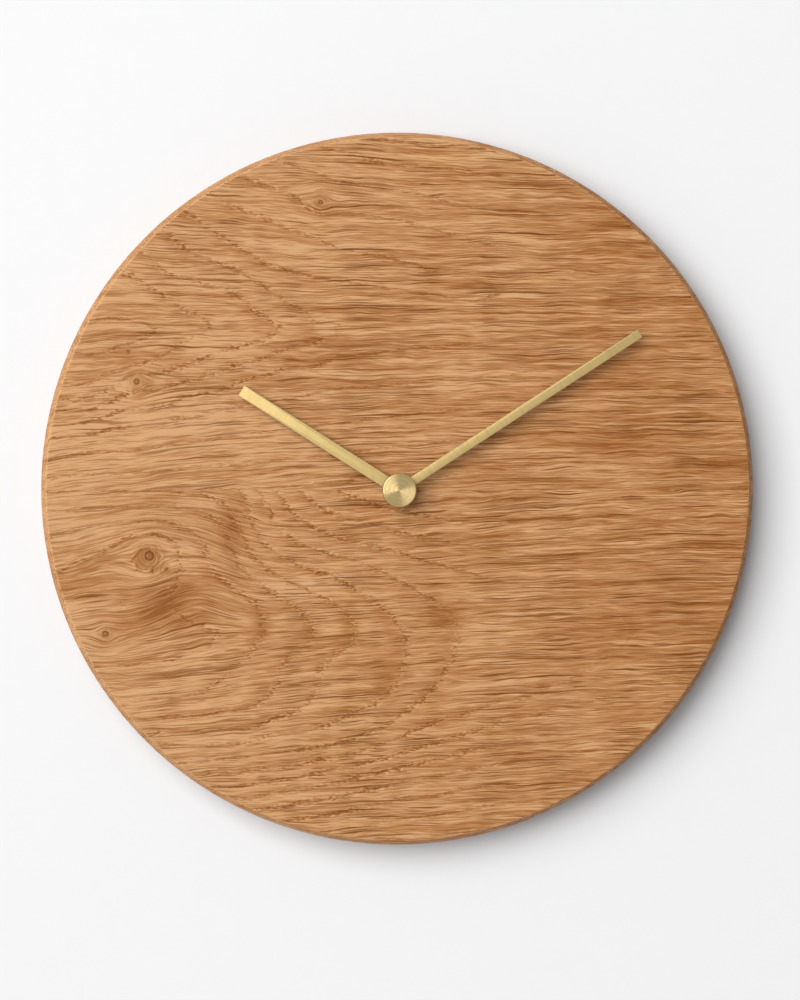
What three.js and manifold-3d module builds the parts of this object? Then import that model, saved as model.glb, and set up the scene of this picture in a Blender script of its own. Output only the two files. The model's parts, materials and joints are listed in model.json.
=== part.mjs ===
import * as THREE from 'three';
import { mergeVertices } from 'three/addons/utils/BufferGeometryUtils.js';
import Module from 'manifold-3d';

const wasm = await Module();
wasm.setup();

// A round oak wall clock with two brass hands and a battery quartz movement.
// Sizes are in millimetres. Inside the clock group x is right, y is up and
// z comes out of the dial, with z = 0 on the wall and the hands turning about
// the z axis. The finished part has its origin at the wall screw.

// Dial: two oak boards, edge-glued along the horizontal diameter
const DIAL_DIAMETER = 300;
const DIAL_FRONT_CHAMFER = 2.2;
const DIAL_BACK_CHAMFER = 1;
const DIAL_SEGMENTS = 128;
const GLUE_LINE = 0.06;

// Square pocket routed in the back of the dial for the movement, which lies a little below the back
const DIAL_WEB = 3;
const BACK_RECESS = 0.6;
const POCKET_CLEARANCE = 2;
const POCKET_CORNER = 6;

// Keyhole slot routed in the back of the upper board for a wall screw
const HANG_RISE = 100;
const KEYHOLE_ENTRY_DIAMETER = 10;
const KEYHOLE_SLOT_WIDTH = 5;
const KEYHOLE_RUN = 14;
const KEYHOLE_LIP = 4;
const KEYHOLE_DEPTH = 10;

// Hands: straight square-ended brass bars on round hubs, angles clockwise from 12
const HAND_THICKNESS = 1;
const HAND_BEVEL = 0.15;
const HOUR_HAND_LENGTH = 78;
const HOUR_HAND_WIDTH = 5.1;
const HOUR_HUB_DIAMETER = 11;
const HOUR_HAND_ANGLE = -57.7;
const MINUTE_HAND_LENGTH = 120.5;
const MINUTE_HAND_WIDTH = 3.8;
const MINUTE_HUB_DIAMETER = 9.4;
const MINUTE_HAND_ANGLE = 57;

// Turned brass cap screwed on the minute shaft
const CAP_DIAMETER = 14.2;
const CAP_SIDE_HEIGHT = 2.5;
const CAP_CHAMFER = 0.35;
const CAP_CONE_RISE = 0.7;
const CAP_CROWN = 1;

// Clamping stack around the threaded bush
const GASKET_DIAMETER = 22;
const GASKET_THICKNESS = 0.6;
const WASHER_DIAMETER = 13.6;
const WASHER_THICKNESS = 0.5;
const NUT_ACROSS_FLATS = 11;
const NUT_THICKNESS = 1.8;
const BUSH_DIAMETER = 7.8;
const BUSH_BORE = 5.5;
const BUSH_COLLAR_DIAMETER = 10.8;
const BUSH_COLLAR_THICKNESS = 0.5;
const BUSH_END_MARGIN = 0.4;
const BUSH_HOLE_CLEARANCE = 0.4;

// Nested shafts
const HOUR_PIPE_DIAMETER = 5;
const HOUR_PIPE_BORE = 3.5;
const MINUTE_SHAFT_DIAMETER = 3.2;
const MINUTE_STUB_DIAMETER = 2.5;
const MINUTE_STUB_LENGTH = 3.2;
const MINUTE_SHAFT_BORE = 1.3;
const MINUTE_FLANGE_DIAMETER = 5.2;
const MINUTE_FLANGE_THICKNESS = 0.4;
const ARBOR_DIAMETER = 0.9;
const HAND_SPACE = 1;

// Movement case in two halves
const CASE_CORNER = 4;
const CASE_WALL = 1.4;
const CASE_SKIN = 1.2;
const CASE_SPLIT_DEPTH = 7.2;
const CLIP_WIDTH = 6;
const CLIP_THICKNESS = 0.8;
const CLIP_REACH = 3;
const CLIP_SPREAD = 15;

// Axle positions, as a distance and a direction from the axle they mesh with
const MOTION_DISTANCE = 10;
const MOTION_ANGLE = 110;
const SETTING_ANGLE = 80;
const THIRD_DISTANCE = 10.8;
const THIRD_ANGLE = 60;
const STEP_DISTANCE = 10.8;
const STEP_ANGLE = 170;
const ROTOR_DISTANCE = 8.7;
const ROTOR_ANGLE = 118;

// Tooth counts: 30:1 from rotor to second wheel, 60:1 to the minute shaft, 12:1 to the hour wheel
const ROTOR_PINION_TEETH = 8;
const STEP_WHEEL_TEETH = 48;
const STEP_PINION_TEETH = 10;
const SECOND_WHEEL_TEETH = 50;
const SECOND_PINION_TEETH = 8;
const THIRD_WHEEL_TEETH = 60;
const THIRD_PINION_TEETH = 8;
const CENTRE_WHEEL_TEETH = 64;
const CANNON_TEETH = 12;
const MINUTE_WHEEL_TEETH = 36;
const MINUTE_PINION_TEETH = 10;
const HOUR_WHEEL_TEETH = 40;
const SETTING_TEETH = 12;

// Tooth form, in modules, and the play at the pitch circle
const TOOTH_ADDENDUM = 0.9;
const TOOTH_DEDENDUM = 1.3;
const TOOTH_PLAY = 0.09;
const LEAF_TIP_SHARE = 0.35;
const WHEEL_TIP_SHARE = 0.6;

// Axial room in the train
const WHEEL_THICKNESS = 0.9;
const PINION_LENGTH = 1.5;
const END_SHAKE = 0.5;
const LAYER_GAP = 0.4;
const PLATE_THICKNESS = 1.2;
const SPRING_DIAMETER = 8.4;
const SPRING_HEIGHT = 0.5;
const SPRING_SHEET = 0.2;

// Bosses, studs and pillars moulded in the case
const BOSS_DIAMETER = 2.4;
const BOSS_LENGTH = 1.3;
const STUD_DIAMETER = 1.4;
const PILLAR_DIAMETER = 2.6;
const PILLARS = [[13.2, -6], [12.5, 21.5], [-9.5, 20.5], [-10.5, -8.6]];
const BOARD_PEG_LEVELS = [-5.5, 21.5];
const PLATE_LEFT = -19.4;
const PLATE_RIGHT = 15;
const PLATE_BOTTOM = -9.8;
const PLATE_BAY_GAP = 0.8;
const PLATE_TOP = 23.6;
const PLATE_CORNER = 3;

// Hand-setting knob, sunk in a round well in the rear half
const KNOB_DIAMETER = 8.8;
const KNOB_FLUTES = 12;
const KNOB_FLUTE_DEPTH = 0.35;
const KNOB_HEIGHT = 3.2;
const KNOB_FLOOR = 1.1;
const KNOB_SINK = 0.6;
const SETTING_SHAFT_DIAMETER = 2.4;
const WELL_CLEARANCE = 0.8;
const WELL_WALL = 0.9;

// One AA cell lying across the bottom of the case
const CELL_DIAMETER = 14.4;
const CELL_LENGTH = 49.2;
const CELL_NUB_DIAMETER = 5.5;
const CELL_NUB_LENGTH = 1;
const CELL_PROUD = 0.3;
const BAY_CLEARANCE = 0.3;
const BAY_PARTITION = 1;
const CONTACT_SHEET = 0.4;
const CONTACT_HEIGHT = 8;
const CONTACT_TAIL_HEIGHT = 2.2;
const CONTACT_FOOT = 2;
const CONTACT_BACKING = 0.8;
const CONTACT_RIB_WIDTH = 3;
const CONTACT_NOTCH_MARGIN = 0.5;

// Stepping motor: rotor magnet, stator sheet, coil on its core
const MAGNET_DIAMETER = 6;
const MAGNET_BORE = 2.4;
const MAGNET_LENGTH = 2.8;
const AIR_GAP = 0.5;
const STATOR_RING = 1.2;
const STATOR_SHEET = 0.9;
const STATOR_RIGHT = -13.2;
const STATOR_BOTTOM = -8.3;
const STATOR_TOP = 23.8;
const STATOR_LEG = 3.2;
const COIL_MOTOR_GAP = 0.5;
const COIL_STATOR_GAP = 1;
const COIL_DIAMETER = 5.4;
const COIL_FLANGE_DIAMETER = 6.4;
const COIL_FLANGE_THICKNESS = 0.8;
const COIL_CORE_WIDTH = 2.2;
const BOBBIN_DIAMETER = 3.8;
const BOBBIN_END_GAP = 0.5;

// Circuit board with its chip and crystal
const BOARD_WIDTH = 8.2;
const BOARD_SIDE_GAP = 1.4;
const BOARD_END_GAP = 2.1;
const BOARD_BOTTOM = -8.5;
const BOARD_TOP = 24.5;
const BOARD_THICKNESS = 1;
const BOARD_HEIGHT = 2.2;
const CHIP_DIAMETER = 6;
const CHIP_HEIGHT = 1.2;
const CHIP_LEVEL = 4;
const CRYSTAL_DIAMETER = 2;
const CRYSTAL_LENGTH = 6;
const CRYSTAL_LEVEL = 12;

// Fits
const TURN_CLEARANCE = 0.15;
const FIXED_CLEARANCE = 0.1;
const SEAT_GAP = 0.2;
const OVERLAP = 0.4;

const HOLE_SEGMENTS = 16;
const TURN = 2 * Math.PI;
const radians = (degrees) => degrees * Math.PI / 180;

// Depth of the case: the larger of what the train and the cell need along the hand axis
const wheelInset = (PINION_LENGTH - WHEEL_THICKNESS) / 2;
const motionRoom = END_SHAKE + WHEEL_THICKNESS + PINION_LENGTH + 2 * LAYER_GAP;
const clutchRoom = SPRING_HEIGHT + 2 * FIXED_CLEARANCE + MINUTE_FLANGE_THICKNESS;
const centreRoom = LAYER_GAP + PINION_LENGTH - wheelInset + clutchRoom;
const goingRoom = SEAT_GAP + PINION_LENGTH + 2 * WHEEL_THICKNESS + 2 * wheelInset;
const trainRoom = motionRoom + PLATE_THICKNESS + centreRoom + goingRoom + SEAT_GAP + BOSS_LENGTH;
const cellRoom = BAY_CLEARANCE + CELL_DIAMETER - CELL_PROUD;
const caseDepth = CASE_SKIN + Math.max(trainRoom + CASE_SKIN, cellRoom);
const dialThickness = DIAL_WEB + GASKET_THICKNESS + 2 * FIXED_CLEARANCE + caseDepth + BACK_RECESS;

// Levels along the hand axis, worked from the dial's front face outwards
const washerRear = dialThickness + FIXED_CLEARANCE;
const washerFront = washerRear + WASHER_THICKNESS;
const nutRear = washerFront + FIXED_CLEARANCE;
const nutFront = nutRear + NUT_THICKNESS;
const bushEnd = nutFront + BUSH_END_MARGIN;
const hourHandRear = bushEnd + LAYER_GAP;
const hourHandFront = hourHandRear + HAND_THICKNESS;
const hourPipeEnd = hourHandFront + SEAT_GAP;
const minuteShoulder = hourPipeEnd + HAND_SPACE;
const minuteHandRear = minuteShoulder + FIXED_CLEARANCE;
const minuteHandFront = minuteHandRear + HAND_THICKNESS;
const capRear = minuteHandFront + FIXED_CLEARANCE;
const stubEnd = minuteShoulder + MINUTE_STUB_LENGTH;

// Levels worked from the pocket floor back towards the wall
const pocketFloor = dialThickness - DIAL_WEB;
const gasketFront = pocketFloor - FIXED_CLEARANCE;
const gasketRear = gasketFront - GASKET_THICKNESS;
const caseFront = gasketRear - FIXED_CLEARANCE;
const caseRear = caseFront - caseDepth;
const caseSplit = caseFront - CASE_SPLIT_DEPTH;
const frontInside = caseFront - CASE_SKIN;
const rearInside = caseRear + CASE_SKIN;
const hourWheelFront = frontInside - END_SHAKE;
const hourWheelRear = hourWheelFront - WHEEL_THICKNESS;
const cannonFront = hourWheelRear - LAYER_GAP;
const cannonRear = cannonFront - PINION_LENGTH;
const plateFront = cannonRear - LAYER_GAP;
const plateRear = plateFront - PLATE_THICKNESS;
const thirdPinionFront = plateRear - LAYER_GAP;
const thirdPinionRear = thirdPinionFront - PINION_LENGTH;
const centreWheelRear = thirdPinionRear + wheelInset;
const springFront = centreWheelRear - FIXED_CLEARANCE;
const flangeFront = springFront - SPRING_HEIGHT - FIXED_CLEARANCE;
const flangeRear = flangeFront - MINUTE_FLANGE_THICKNESS;
const secondPinionFront = flangeRear - SEAT_GAP;
const secondPinionRear = secondPinionFront - PINION_LENGTH;
const thirdWheelRear = secondPinionRear + wheelInset;
const secondWheelRear = secondPinionRear - WHEEL_THICKNESS;
const stepPinionRear = secondWheelRear - wheelInset;
const stepWheelRear = stepPinionRear - WHEEL_THICKNESS;
const rotorPinionRear = stepWheelRear - wheelInset;
const magnetRear = rotorPinionRear + PINION_LENGTH + SEAT_GAP;
const statorRear = magnetRear + (MAGNET_LENGTH - STATOR_SHEET) / 2;
const coreRear = statorRear + STATOR_SHEET + SEAT_GAP;
const coilLevel = coreRear + STATOR_SHEET / 2;

// Axle positions in the plane of the dial
const centreAxle = new THREE.Vector2(0, 0);
const polar = (from, distance, angle) => new THREE.Vector2(
  from.x + distance * Math.cos(radians(angle)),
  from.y + distance * Math.sin(radians(angle)),
);
const moduleOf = (distance, first, second) => 2 * distance / (first + second);
const motionModule = moduleOf(MOTION_DISTANCE, CANNON_TEETH, MINUTE_WHEEL_TEETH);
const hourModule = moduleOf(MOTION_DISTANCE, MINUTE_PINION_TEETH, HOUR_WHEEL_TEETH);
const centreModule = moduleOf(THIRD_DISTANCE, THIRD_PINION_TEETH, CENTRE_WHEEL_TEETH);
const thirdModule = moduleOf(THIRD_DISTANCE, SECOND_PINION_TEETH, THIRD_WHEEL_TEETH);
const secondModule = moduleOf(STEP_DISTANCE, STEP_PINION_TEETH, SECOND_WHEEL_TEETH);
const stepModule = moduleOf(ROTOR_DISTANCE, ROTOR_PINION_TEETH, STEP_WHEEL_TEETH);
const settingDistance = motionModule * (MINUTE_WHEEL_TEETH + SETTING_TEETH) / 2;
const motionAxle = polar(centreAxle, MOTION_DISTANCE, MOTION_ANGLE);
const settingAxle = polar(motionAxle, settingDistance, SETTING_ANGLE);
const thirdAxle = polar(centreAxle, THIRD_DISTANCE, THIRD_ANGLE);
const stepAxle = polar(centreAxle, STEP_DISTANCE, STEP_ANGLE);
const rotorAxle = polar(stepAxle, ROTOR_DISTANCE, ROTOR_ANGLE);

// Battery bay along the bottom of the case, below the train plate
const partitionTop = PLATE_BOTTOM - PLATE_BAY_GAP;
const bayTop = partitionTop - BAY_PARTITION;
const cellY = bayTop - BAY_CLEARANCE - CELL_DIAMETER / 2;
const cellZ = frontInside - BAY_CLEARANCE - CELL_DIAMETER / 2;
const bayBottom = cellY - CELL_DIAMETER / 2 - BAY_CLEARANCE;
const cellStart = -(CELL_LENGTH + CELL_NUB_LENGTH) / 2;
const contactInner = -cellStart + BAY_CLEARANCE;
const contactOuter = contactInner + CONTACT_SHEET;

// Inside half-width of the case: the larger of what the cell's contacts and the motor need
const statorRingDiameter = MAGNET_DIAMETER + 2 * (AIR_GAP + STATOR_RING);
const motorReach = statorRingDiameter / 2 + COIL_MOTOR_GAP + COIL_FLANGE_DIAMETER + SEAT_GAP - rotorAxle.x;
const caseInner = Math.max(contactOuter + CONTACT_BACKING, motorReach);
const caseOuter = caseInner + CASE_WALL;
const caseBottom = bayBottom - CASE_WALL;
const topInside = BOARD_TOP + BOARD_END_GAP;
const caseTop = topInside + CASE_WALL;
const coilAxisX = SEAT_GAP + COIL_FLANGE_DIAMETER / 2 - caseInner;
const statorLeft = coilAxisX + COIL_FLANGE_DIAMETER / 2 + COIL_STATOR_GAP;
const boardRight = caseInner - BOARD_SIDE_GAP;
const boardLeft = boardRight - BOARD_WIDTH;
const boardMiddle = (boardLeft + boardRight) / 2;

const pinHole = ARBOR_DIAMETER / 2 + TURN_CLEARANCE;
const wellRadius = KNOB_DIAMETER / 2 + WELL_CLEARANCE;
const knobRear = caseRear + KNOB_SINK;
const knobFront = knobRear + KNOB_HEIGHT;
const wellFloor = knobFront + SEAT_GAP;
const boardRear = rearInside + BOARD_HEIGHT;
const boardFront = boardRear + BOARD_THICKNESS;

// Solid helpers

function solidOf(geometry) {
  const bare = geometry.clone();
  bare.deleteAttribute('normal');
  bare.deleteAttribute('uv');
  const welded = mergeVertices(bare, 1e-4);
  const corners = welded.index.array;
  const kept = [];
  for (let i = 0; i < corners.length; i += 3) {
    const [a, b, c] = corners.slice(i, i + 3);
    if (a !== b && b !== c && c !== a) {
      kept.push(a, b, c);
    }
  }
  return new wasm.Manifold(new wasm.Mesh({
    numProp: 3,
    vertProperties: Float32Array.from(welded.attributes.position.array),
    triVerts: Uint32Array.from(kept),
  }));
}

function geometryOf(solid) {
  const mesh = solid.getMesh();
  const geometry = new THREE.BufferGeometry();
  geometry.setAttribute('position', new THREE.Float32BufferAttribute(mesh.vertProperties, 3));
  geometry.setIndex(new THREE.Uint32BufferAttribute(mesh.triVerts, 1));
  return geometry;
}

function joined(geometries) {
  return geometries.map(solidOf).reduce((whole, next) => whole.add(next));
}

function cut(body, tools) {
  return geometryOf(tools.map(solidOf).reduce((rest, tool) => rest.subtract(tool), body));
}

function block(x0, x1, y0, y1, z0, z1) {
  const box = new THREE.BoxGeometry(x1 - x0, y1 - y0, z1 - z0);
  return box.translate((x0 + x1) / 2, (y0 + y1) / 2, (z0 + z1) / 2);
}

function rod(at, diameter, z0, z1, segments) {
  const cylinder = new THREE.CylinderGeometry(diameter / 2, diameter / 2, z1 - z0, segments);
  return cylinder.rotateX(Math.PI / 2).translate(at.x, at.y, (z0 + z1) / 2);
}

// Solid of revolution about the z axis from [radius, level] pairs, outer side upwards
function turned(profile, segments) {
  const points = profile.map(([radius, level]) => new THREE.Vector2(radius, level));
  return new THREE.LatheGeometry(points, segments).rotateX(Math.PI / 2);
}

function ring(outer, inner, z0, z1, segments) {
  const r = inner / 2;
  const s = outer / 2;
  return turned([[r, z0], [s, z0], [s, z1], [r, z1], [r, z0]], segments);
}

function prism(shape, z0, z1) {
  const options = { depth: z1 - z0, bevelEnabled: false, curveSegments: 2 };
  return new THREE.ExtrudeGeometry(shape, options).translate(0, 0, z0);
}

function roundedRectangle(x0, x1, y0, y1, corner) {
  const shape = new THREE.Shape();
  shape.absarc(x1 - corner, y1 - corner, corner, 0, Math.PI / 2);
  shape.absarc(x0 + corner, y1 - corner, corner, Math.PI / 2, Math.PI);
  shape.absarc(x0 + corner, y0 + corner, corner, Math.PI, 1.5 * Math.PI);
  shape.absarc(x1 - corner, y0 + corner, corner, 1.5 * Math.PI, TURN);
  return shape;
}

// Points at even angles round the axis, each at the radius given for its place in the row
function pointsAround(count, radiusAt) {
  return Array.from({ length: count }, (_, place) => new THREE.Vector2(
    radiusAt(place) * Math.cos(place * TURN / count),
    radiusAt(place) * Math.sin(place * TURN / count),
  ));
}

function roundHole(diameter) {
  return new THREE.Path(pointsAround(HOLE_SEGMENTS, () => diameter / 2).reverse());
}

// Outline of a toothed wheel from the half-angles of one tooth at given radii
function toothedShape(teeth, phase, flank) {
  const points = [];
  for (let tooth = 0; tooth < teeth; tooth += 1) {
    const middle = phase + tooth * TURN / teeth;
    const rising = flank.map(([radius, half]) => [radius, middle - half]);
    const falling = flank.toReversed().map(([radius, half]) => [radius, middle + half]);
    for (const [radius, angle] of [...rising, ...falling]) {
      points.push(new THREE.Vector2(radius * Math.cos(angle), radius * Math.sin(angle)));
    }
  }
  return new THREE.Shape(points);
}

// Pinion leaf: radial flank below the pitch circle, drawn in to a narrow tip above it
function pinionShape(teeth, modulus, phase) {
  const pitch = modulus * teeth / 2;
  const half = Math.PI / (2 * teeth) - TOOTH_PLAY / (4 * pitch);
  return toothedShape(teeth, phase, [
    [pitch - modulus * TOOTH_DEDENDUM, half],
    [pitch, half],
    [pitch + modulus * TOOTH_ADDENDUM, half * LEAF_TIP_SHARE],
  ]);
}

// Wheel tooth: one straight flank from root to tip through the pitch circle
function wheelShape(teeth, modulus, phase) {
  const pitch = modulus * teeth / 2;
  const half = Math.PI / (2 * teeth) - TOOTH_PLAY / (4 * pitch);
  const tipHalf = half * WHEEL_TIP_SHARE;
  const slope = (half - tipHalf) / TOOTH_ADDENDUM;
  return toothedShape(teeth, phase, [
    [pitch - modulus * TOOTH_DEDENDUM, half + slope * TOOTH_DEDENDUM],
    [pitch + modulus * TOOTH_ADDENDUM, tipHalf],
  ]);
}

// Phase that puts a gear in mesh with its neighbour, which lies at the far end of the direction
function matePhase(phase, teeth, mateTeeth, direction) {
  const share = (direction - phase) * teeth / TURN;
  return direction + Math.PI - (0.5 - share) * TURN / mateTeeth;
}

function gear(shape, z0, z1, bore) {
  if (bore) {
    shape.holes.push(roundHole(bore));
  }
  return prism(shape, z0, z1);
}

const clock = new THREE.Group();
clock.name = 'clock';
clock.rotation.x = Math.PI / 2;
clock.position.z = -HANG_RISE;

function add(name, geometry, look, at = centreAxle) {
  const mesh = new THREE.Mesh(geometry, new THREE.MeshStandardMaterial(look));
  mesh.name = name;
  mesh.position.set(at.x, at.y, 0);
  clock.add(mesh);
  return mesh;
}

const OAK = { color: 0xc99458, roughness: 0.62, metalness: 0 };
const BRASS = { color: 0xcdb878, roughness: 0.34, metalness: 1 };
const PLATED = { color: 0xb9a25c, roughness: 0.4, metalness: 1 };
const STEEL = { color: 0xb4b6b8, roughness: 0.38, metalness: 1 };
const IRON = { color: 0x8d8f92, roughness: 0.5, metalness: 1 };
const BLACK_PLASTIC = { color: 0x1d1d1f, roughness: 0.55, metalness: 0 };
const WHITE_PLASTIC = { color: 0xe6e2d6, roughness: 0.5, metalness: 0 };
const RUBBER = { color: 0x242424, roughness: 0.85, metalness: 0 };
const COPPER = { color: 0xb0673a, roughness: 0.4, metalness: 1 };
const MAGNET = { color: 0x4a4a4e, roughness: 0.5, metalness: 0.6 };
const LAMINATE = { color: 0x4d6b3c, roughness: 0.6, metalness: 0 };
const CELL_SLEEVE = { color: 0x2f6f86, roughness: 0.35, metalness: 0.2 };

// Dial boards
const dialRadius = DIAL_DIAMETER / 2;
const disc = turned([
  [0, 0],
  [dialRadius - DIAL_BACK_CHAMFER, 0],
  [dialRadius, DIAL_BACK_CHAMFER],
  [dialRadius, dialThickness - DIAL_FRONT_CHAMFER],
  [dialRadius - DIAL_FRONT_CHAMFER, dialThickness],
  [0, dialThickness],
], DIAL_SEGMENTS);
const pocketHalf = caseOuter + POCKET_CLEARANCE;
const pocket = prism(
  roundedRectangle(
    -pocketHalf, pocketHalf, caseBottom - POCKET_CLEARANCE, caseTop + POCKET_CLEARANCE, POCKET_CORNER,
  ),
  -OVERLAP,
  pocketFloor,
);
const bushHole = rod(centreAxle, BUSH_DIAMETER + 2 * BUSH_HOLE_CLEARANCE, 0, 2 * dialThickness, 32);
const slotEnd = new THREE.Vector2(0, HANG_RISE);
const slotStart = new THREE.Vector2(0, HANG_RISE - KEYHOLE_RUN);
const slotHalf = KEYHOLE_SLOT_WIDTH / 2;
const headHalf = KEYHOLE_ENTRY_DIAMETER / 2;
const keyhole = [
  rod(slotStart, KEYHOLE_ENTRY_DIAMETER, -OVERLAP, KEYHOLE_DEPTH, 20),
  rod(slotEnd, KEYHOLE_SLOT_WIDTH, -OVERLAP, KEYHOLE_DEPTH, 20),
  rod(slotEnd, KEYHOLE_ENTRY_DIAMETER, KEYHOLE_LIP, KEYHOLE_DEPTH, 20),
  block(-slotHalf, slotHalf, slotStart.y, slotEnd.y, -OVERLAP, KEYHOLE_DEPTH),
  block(-headHalf, headHalf, slotStart.y, slotEnd.y, KEYHOLE_LIP, KEYHOLE_DEPTH),
];
const lowerHalfSpace = block(
  -DIAL_DIAMETER, DIAL_DIAMETER, -DIAL_DIAMETER, GLUE_LINE / 2, -dialThickness, 2 * dialThickness,
);
const upperHalfSpace = block(
  -DIAL_DIAMETER, DIAL_DIAMETER, -GLUE_LINE / 2, DIAL_DIAMETER, -dialThickness, 2 * dialThickness,
);
add('oak_board_upper', cut(solidOf(disc), [lowerHalfSpace, pocket, bushHole, ...keyhole]), OAK);
add('oak_board_lower', cut(solidOf(disc), [upperHalfSpace, pocket, bushHole]), OAK);

// Hands and cap
function handGeometry(length, width, hubDiameter, bore, level) {
  const half = width / 2;
  const hub = hubDiameter / 2;
  const meeting = Math.asin(half / hub);
  const shape = new THREE.Shape();
  shape.moveTo(half, length);
  shape.lineTo(-half, length);
  shape.absarc(0, 0, hub, Math.PI / 2 + meeting, TURN + Math.PI / 2 - meeting);
  shape.closePath();
  shape.holes.push(roundHole(bore));
  return new THREE.ExtrudeGeometry(shape, {
    depth: HAND_THICKNESS - 2 * HAND_BEVEL,
    bevelSize: HAND_BEVEL,
    bevelThickness: HAND_BEVEL,
    bevelOffset: -HAND_BEVEL,
    bevelSegments: 1,
    curveSegments: 8,
  }).translate(0, 0, level + HAND_BEVEL);
}
const hourHand = handGeometry(
  HOUR_HAND_LENGTH,
  HOUR_HAND_WIDTH,
  HOUR_HUB_DIAMETER,
  HOUR_PIPE_DIAMETER + 2 * FIXED_CLEARANCE,
  hourHandRear,
);
add('hour_hand', hourHand, BRASS).rotation.z = -radians(HOUR_HAND_ANGLE);
const minuteHand = handGeometry(
  MINUTE_HAND_LENGTH,
  MINUTE_HAND_WIDTH,
  MINUTE_HUB_DIAMETER,
  MINUTE_STUB_DIAMETER + 2 * FIXED_CLEARANCE,
  minuteHandRear,
);
add('minute_hand', minuteHand, BRASS).rotation.z = -radians(MINUTE_HAND_ANGLE);

const capRadius = CAP_DIAMETER / 2;
const capBore = MINUTE_STUB_DIAMETER / 2 + FIXED_CLEARANCE;
const capShoulder = Math.max(capRear + CAP_SIDE_HEIGHT, stubEnd + SEAT_GAP + CAP_CROWN - CAP_CHAMFER);
add('hand_cap', turned([
  [0, stubEnd + SEAT_GAP],
  [capBore, stubEnd + SEAT_GAP],
  [capBore, capRear],
  [capRadius, capRear],
  [capRadius, capShoulder],
  [capRadius - CAP_CHAMFER, capShoulder + CAP_CHAMFER],
  [0, capShoulder + CAP_CHAMFER + CAP_CONE_RISE],
], 32), BRASS);

// Clamping stack
add('rubber_gasket', ring(
  GASKET_DIAMETER, BUSH_COLLAR_DIAMETER + 2 * SEAT_GAP, gasketRear, gasketFront, 20,
), RUBBER);
add('front_washer', ring(
  WASHER_DIAMETER, BUSH_DIAMETER + 2 * FIXED_CLEARANCE, washerRear, washerFront, 24,
), PLATED);
const hexagon = new THREE.Shape(pointsAround(6, () => NUT_ACROSS_FLATS / Math.sqrt(3)));
hexagon.holes.push(roundHole(BUSH_DIAMETER + 2 * FIXED_CLEARANCE));
add('hex_nut', prism(hexagon, nutRear, nutFront), PLATED);
add('threaded_bush', turned([
  [BUSH_BORE / 2, frontInside],
  [BUSH_DIAMETER / 2, frontInside],
  [BUSH_DIAMETER / 2, caseFront + FIXED_CLEARANCE],
  [BUSH_COLLAR_DIAMETER / 2, caseFront + FIXED_CLEARANCE],
  [BUSH_COLLAR_DIAMETER / 2, caseFront + FIXED_CLEARANCE + BUSH_COLLAR_THICKNESS],
  [BUSH_DIAMETER / 2, caseFront + FIXED_CLEARANCE + BUSH_COLLAR_THICKNESS],
  [BUSH_DIAMETER / 2, bushEnd],
  [BUSH_BORE / 2, bushEnd],
  [BUSH_BORE / 2, frontInside],
], 20), PLATED);

// Front half of the case: skin, walls, stud for the minute wheel, setting boss, clips and ribs
const caseOutline = roundedRectangle(-caseOuter, caseOuter, caseBottom, caseTop, CASE_CORNER);
const innerOutline = roundedRectangle(
  -caseInner, caseInner, bayBottom, topInside, CASE_CORNER - CASE_WALL,
);
const contactRibs = (z0, z1) => [-1, 1].map((side) => block(
  Math.min(side * (contactOuter + FIXED_CLEARANCE), side * (caseInner + OVERLAP)),
  Math.max(side * (contactOuter + FIXED_CLEARANCE), side * (caseInner + OVERLAP)),
  cellY - CONTACT_RIB_WIDTH / 2,
  cellY + CONTACT_RIB_WIDTH / 2,
  z0,
  z1,
));
const settingBossRear = hourWheelRear + SEAT_GAP;
const frontShell = solidOf(prism(caseOutline, caseSplit + SEAT_GAP / 2, caseFront))
  .subtract(solidOf(prism(innerOutline, caseSplit - OVERLAP, frontInside)));
const clipInner = topInside - SEAT_GAP - CLIP_THICKNESS;
const clipRoot = caseSplit + SEAT_GAP;
const clips = [-CLIP_SPREAD, CLIP_SPREAD].flatMap((x) => [
  block(x - CLIP_WIDTH / 2, x + CLIP_WIDTH / 2, clipInner, topInside - SEAT_GAP,
    caseSplit - CLIP_REACH, clipRoot + CLIP_THICKNESS),
  block(x - CLIP_WIDTH / 2, x + CLIP_WIDTH / 2, clipInner, topInside + OVERLAP,
    clipRoot, clipRoot + CLIP_THICKNESS),
]);
const frontBody = joined([
  rod(motionAxle, STUD_DIAMETER, plateFront + SEAT_GAP, frontInside + OVERLAP, 16),
  rod(settingAxle, SETTING_SHAFT_DIAMETER + BOSS_DIAMETER, settingBossRear, frontInside + OVERLAP, 20),
  ...clips,
  ...contactRibs(caseSplit + SEAT_GAP / 2, frontInside + OVERLAP),
]).add(frontShell);
add('front_housing', cut(frontBody, [
  rod(centreAxle, BUSH_DIAMETER + 2 * FIXED_CLEARANCE, frontInside - OVERLAP, caseFront + OVERLAP, 32),
  rod(settingAxle, SETTING_SHAFT_DIAMETER + 2 * TURN_CLEARANCE,
    settingBossRear - OVERLAP, frontInside - OVERLAP, 20),
]), BLACK_PLASTIC);

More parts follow.
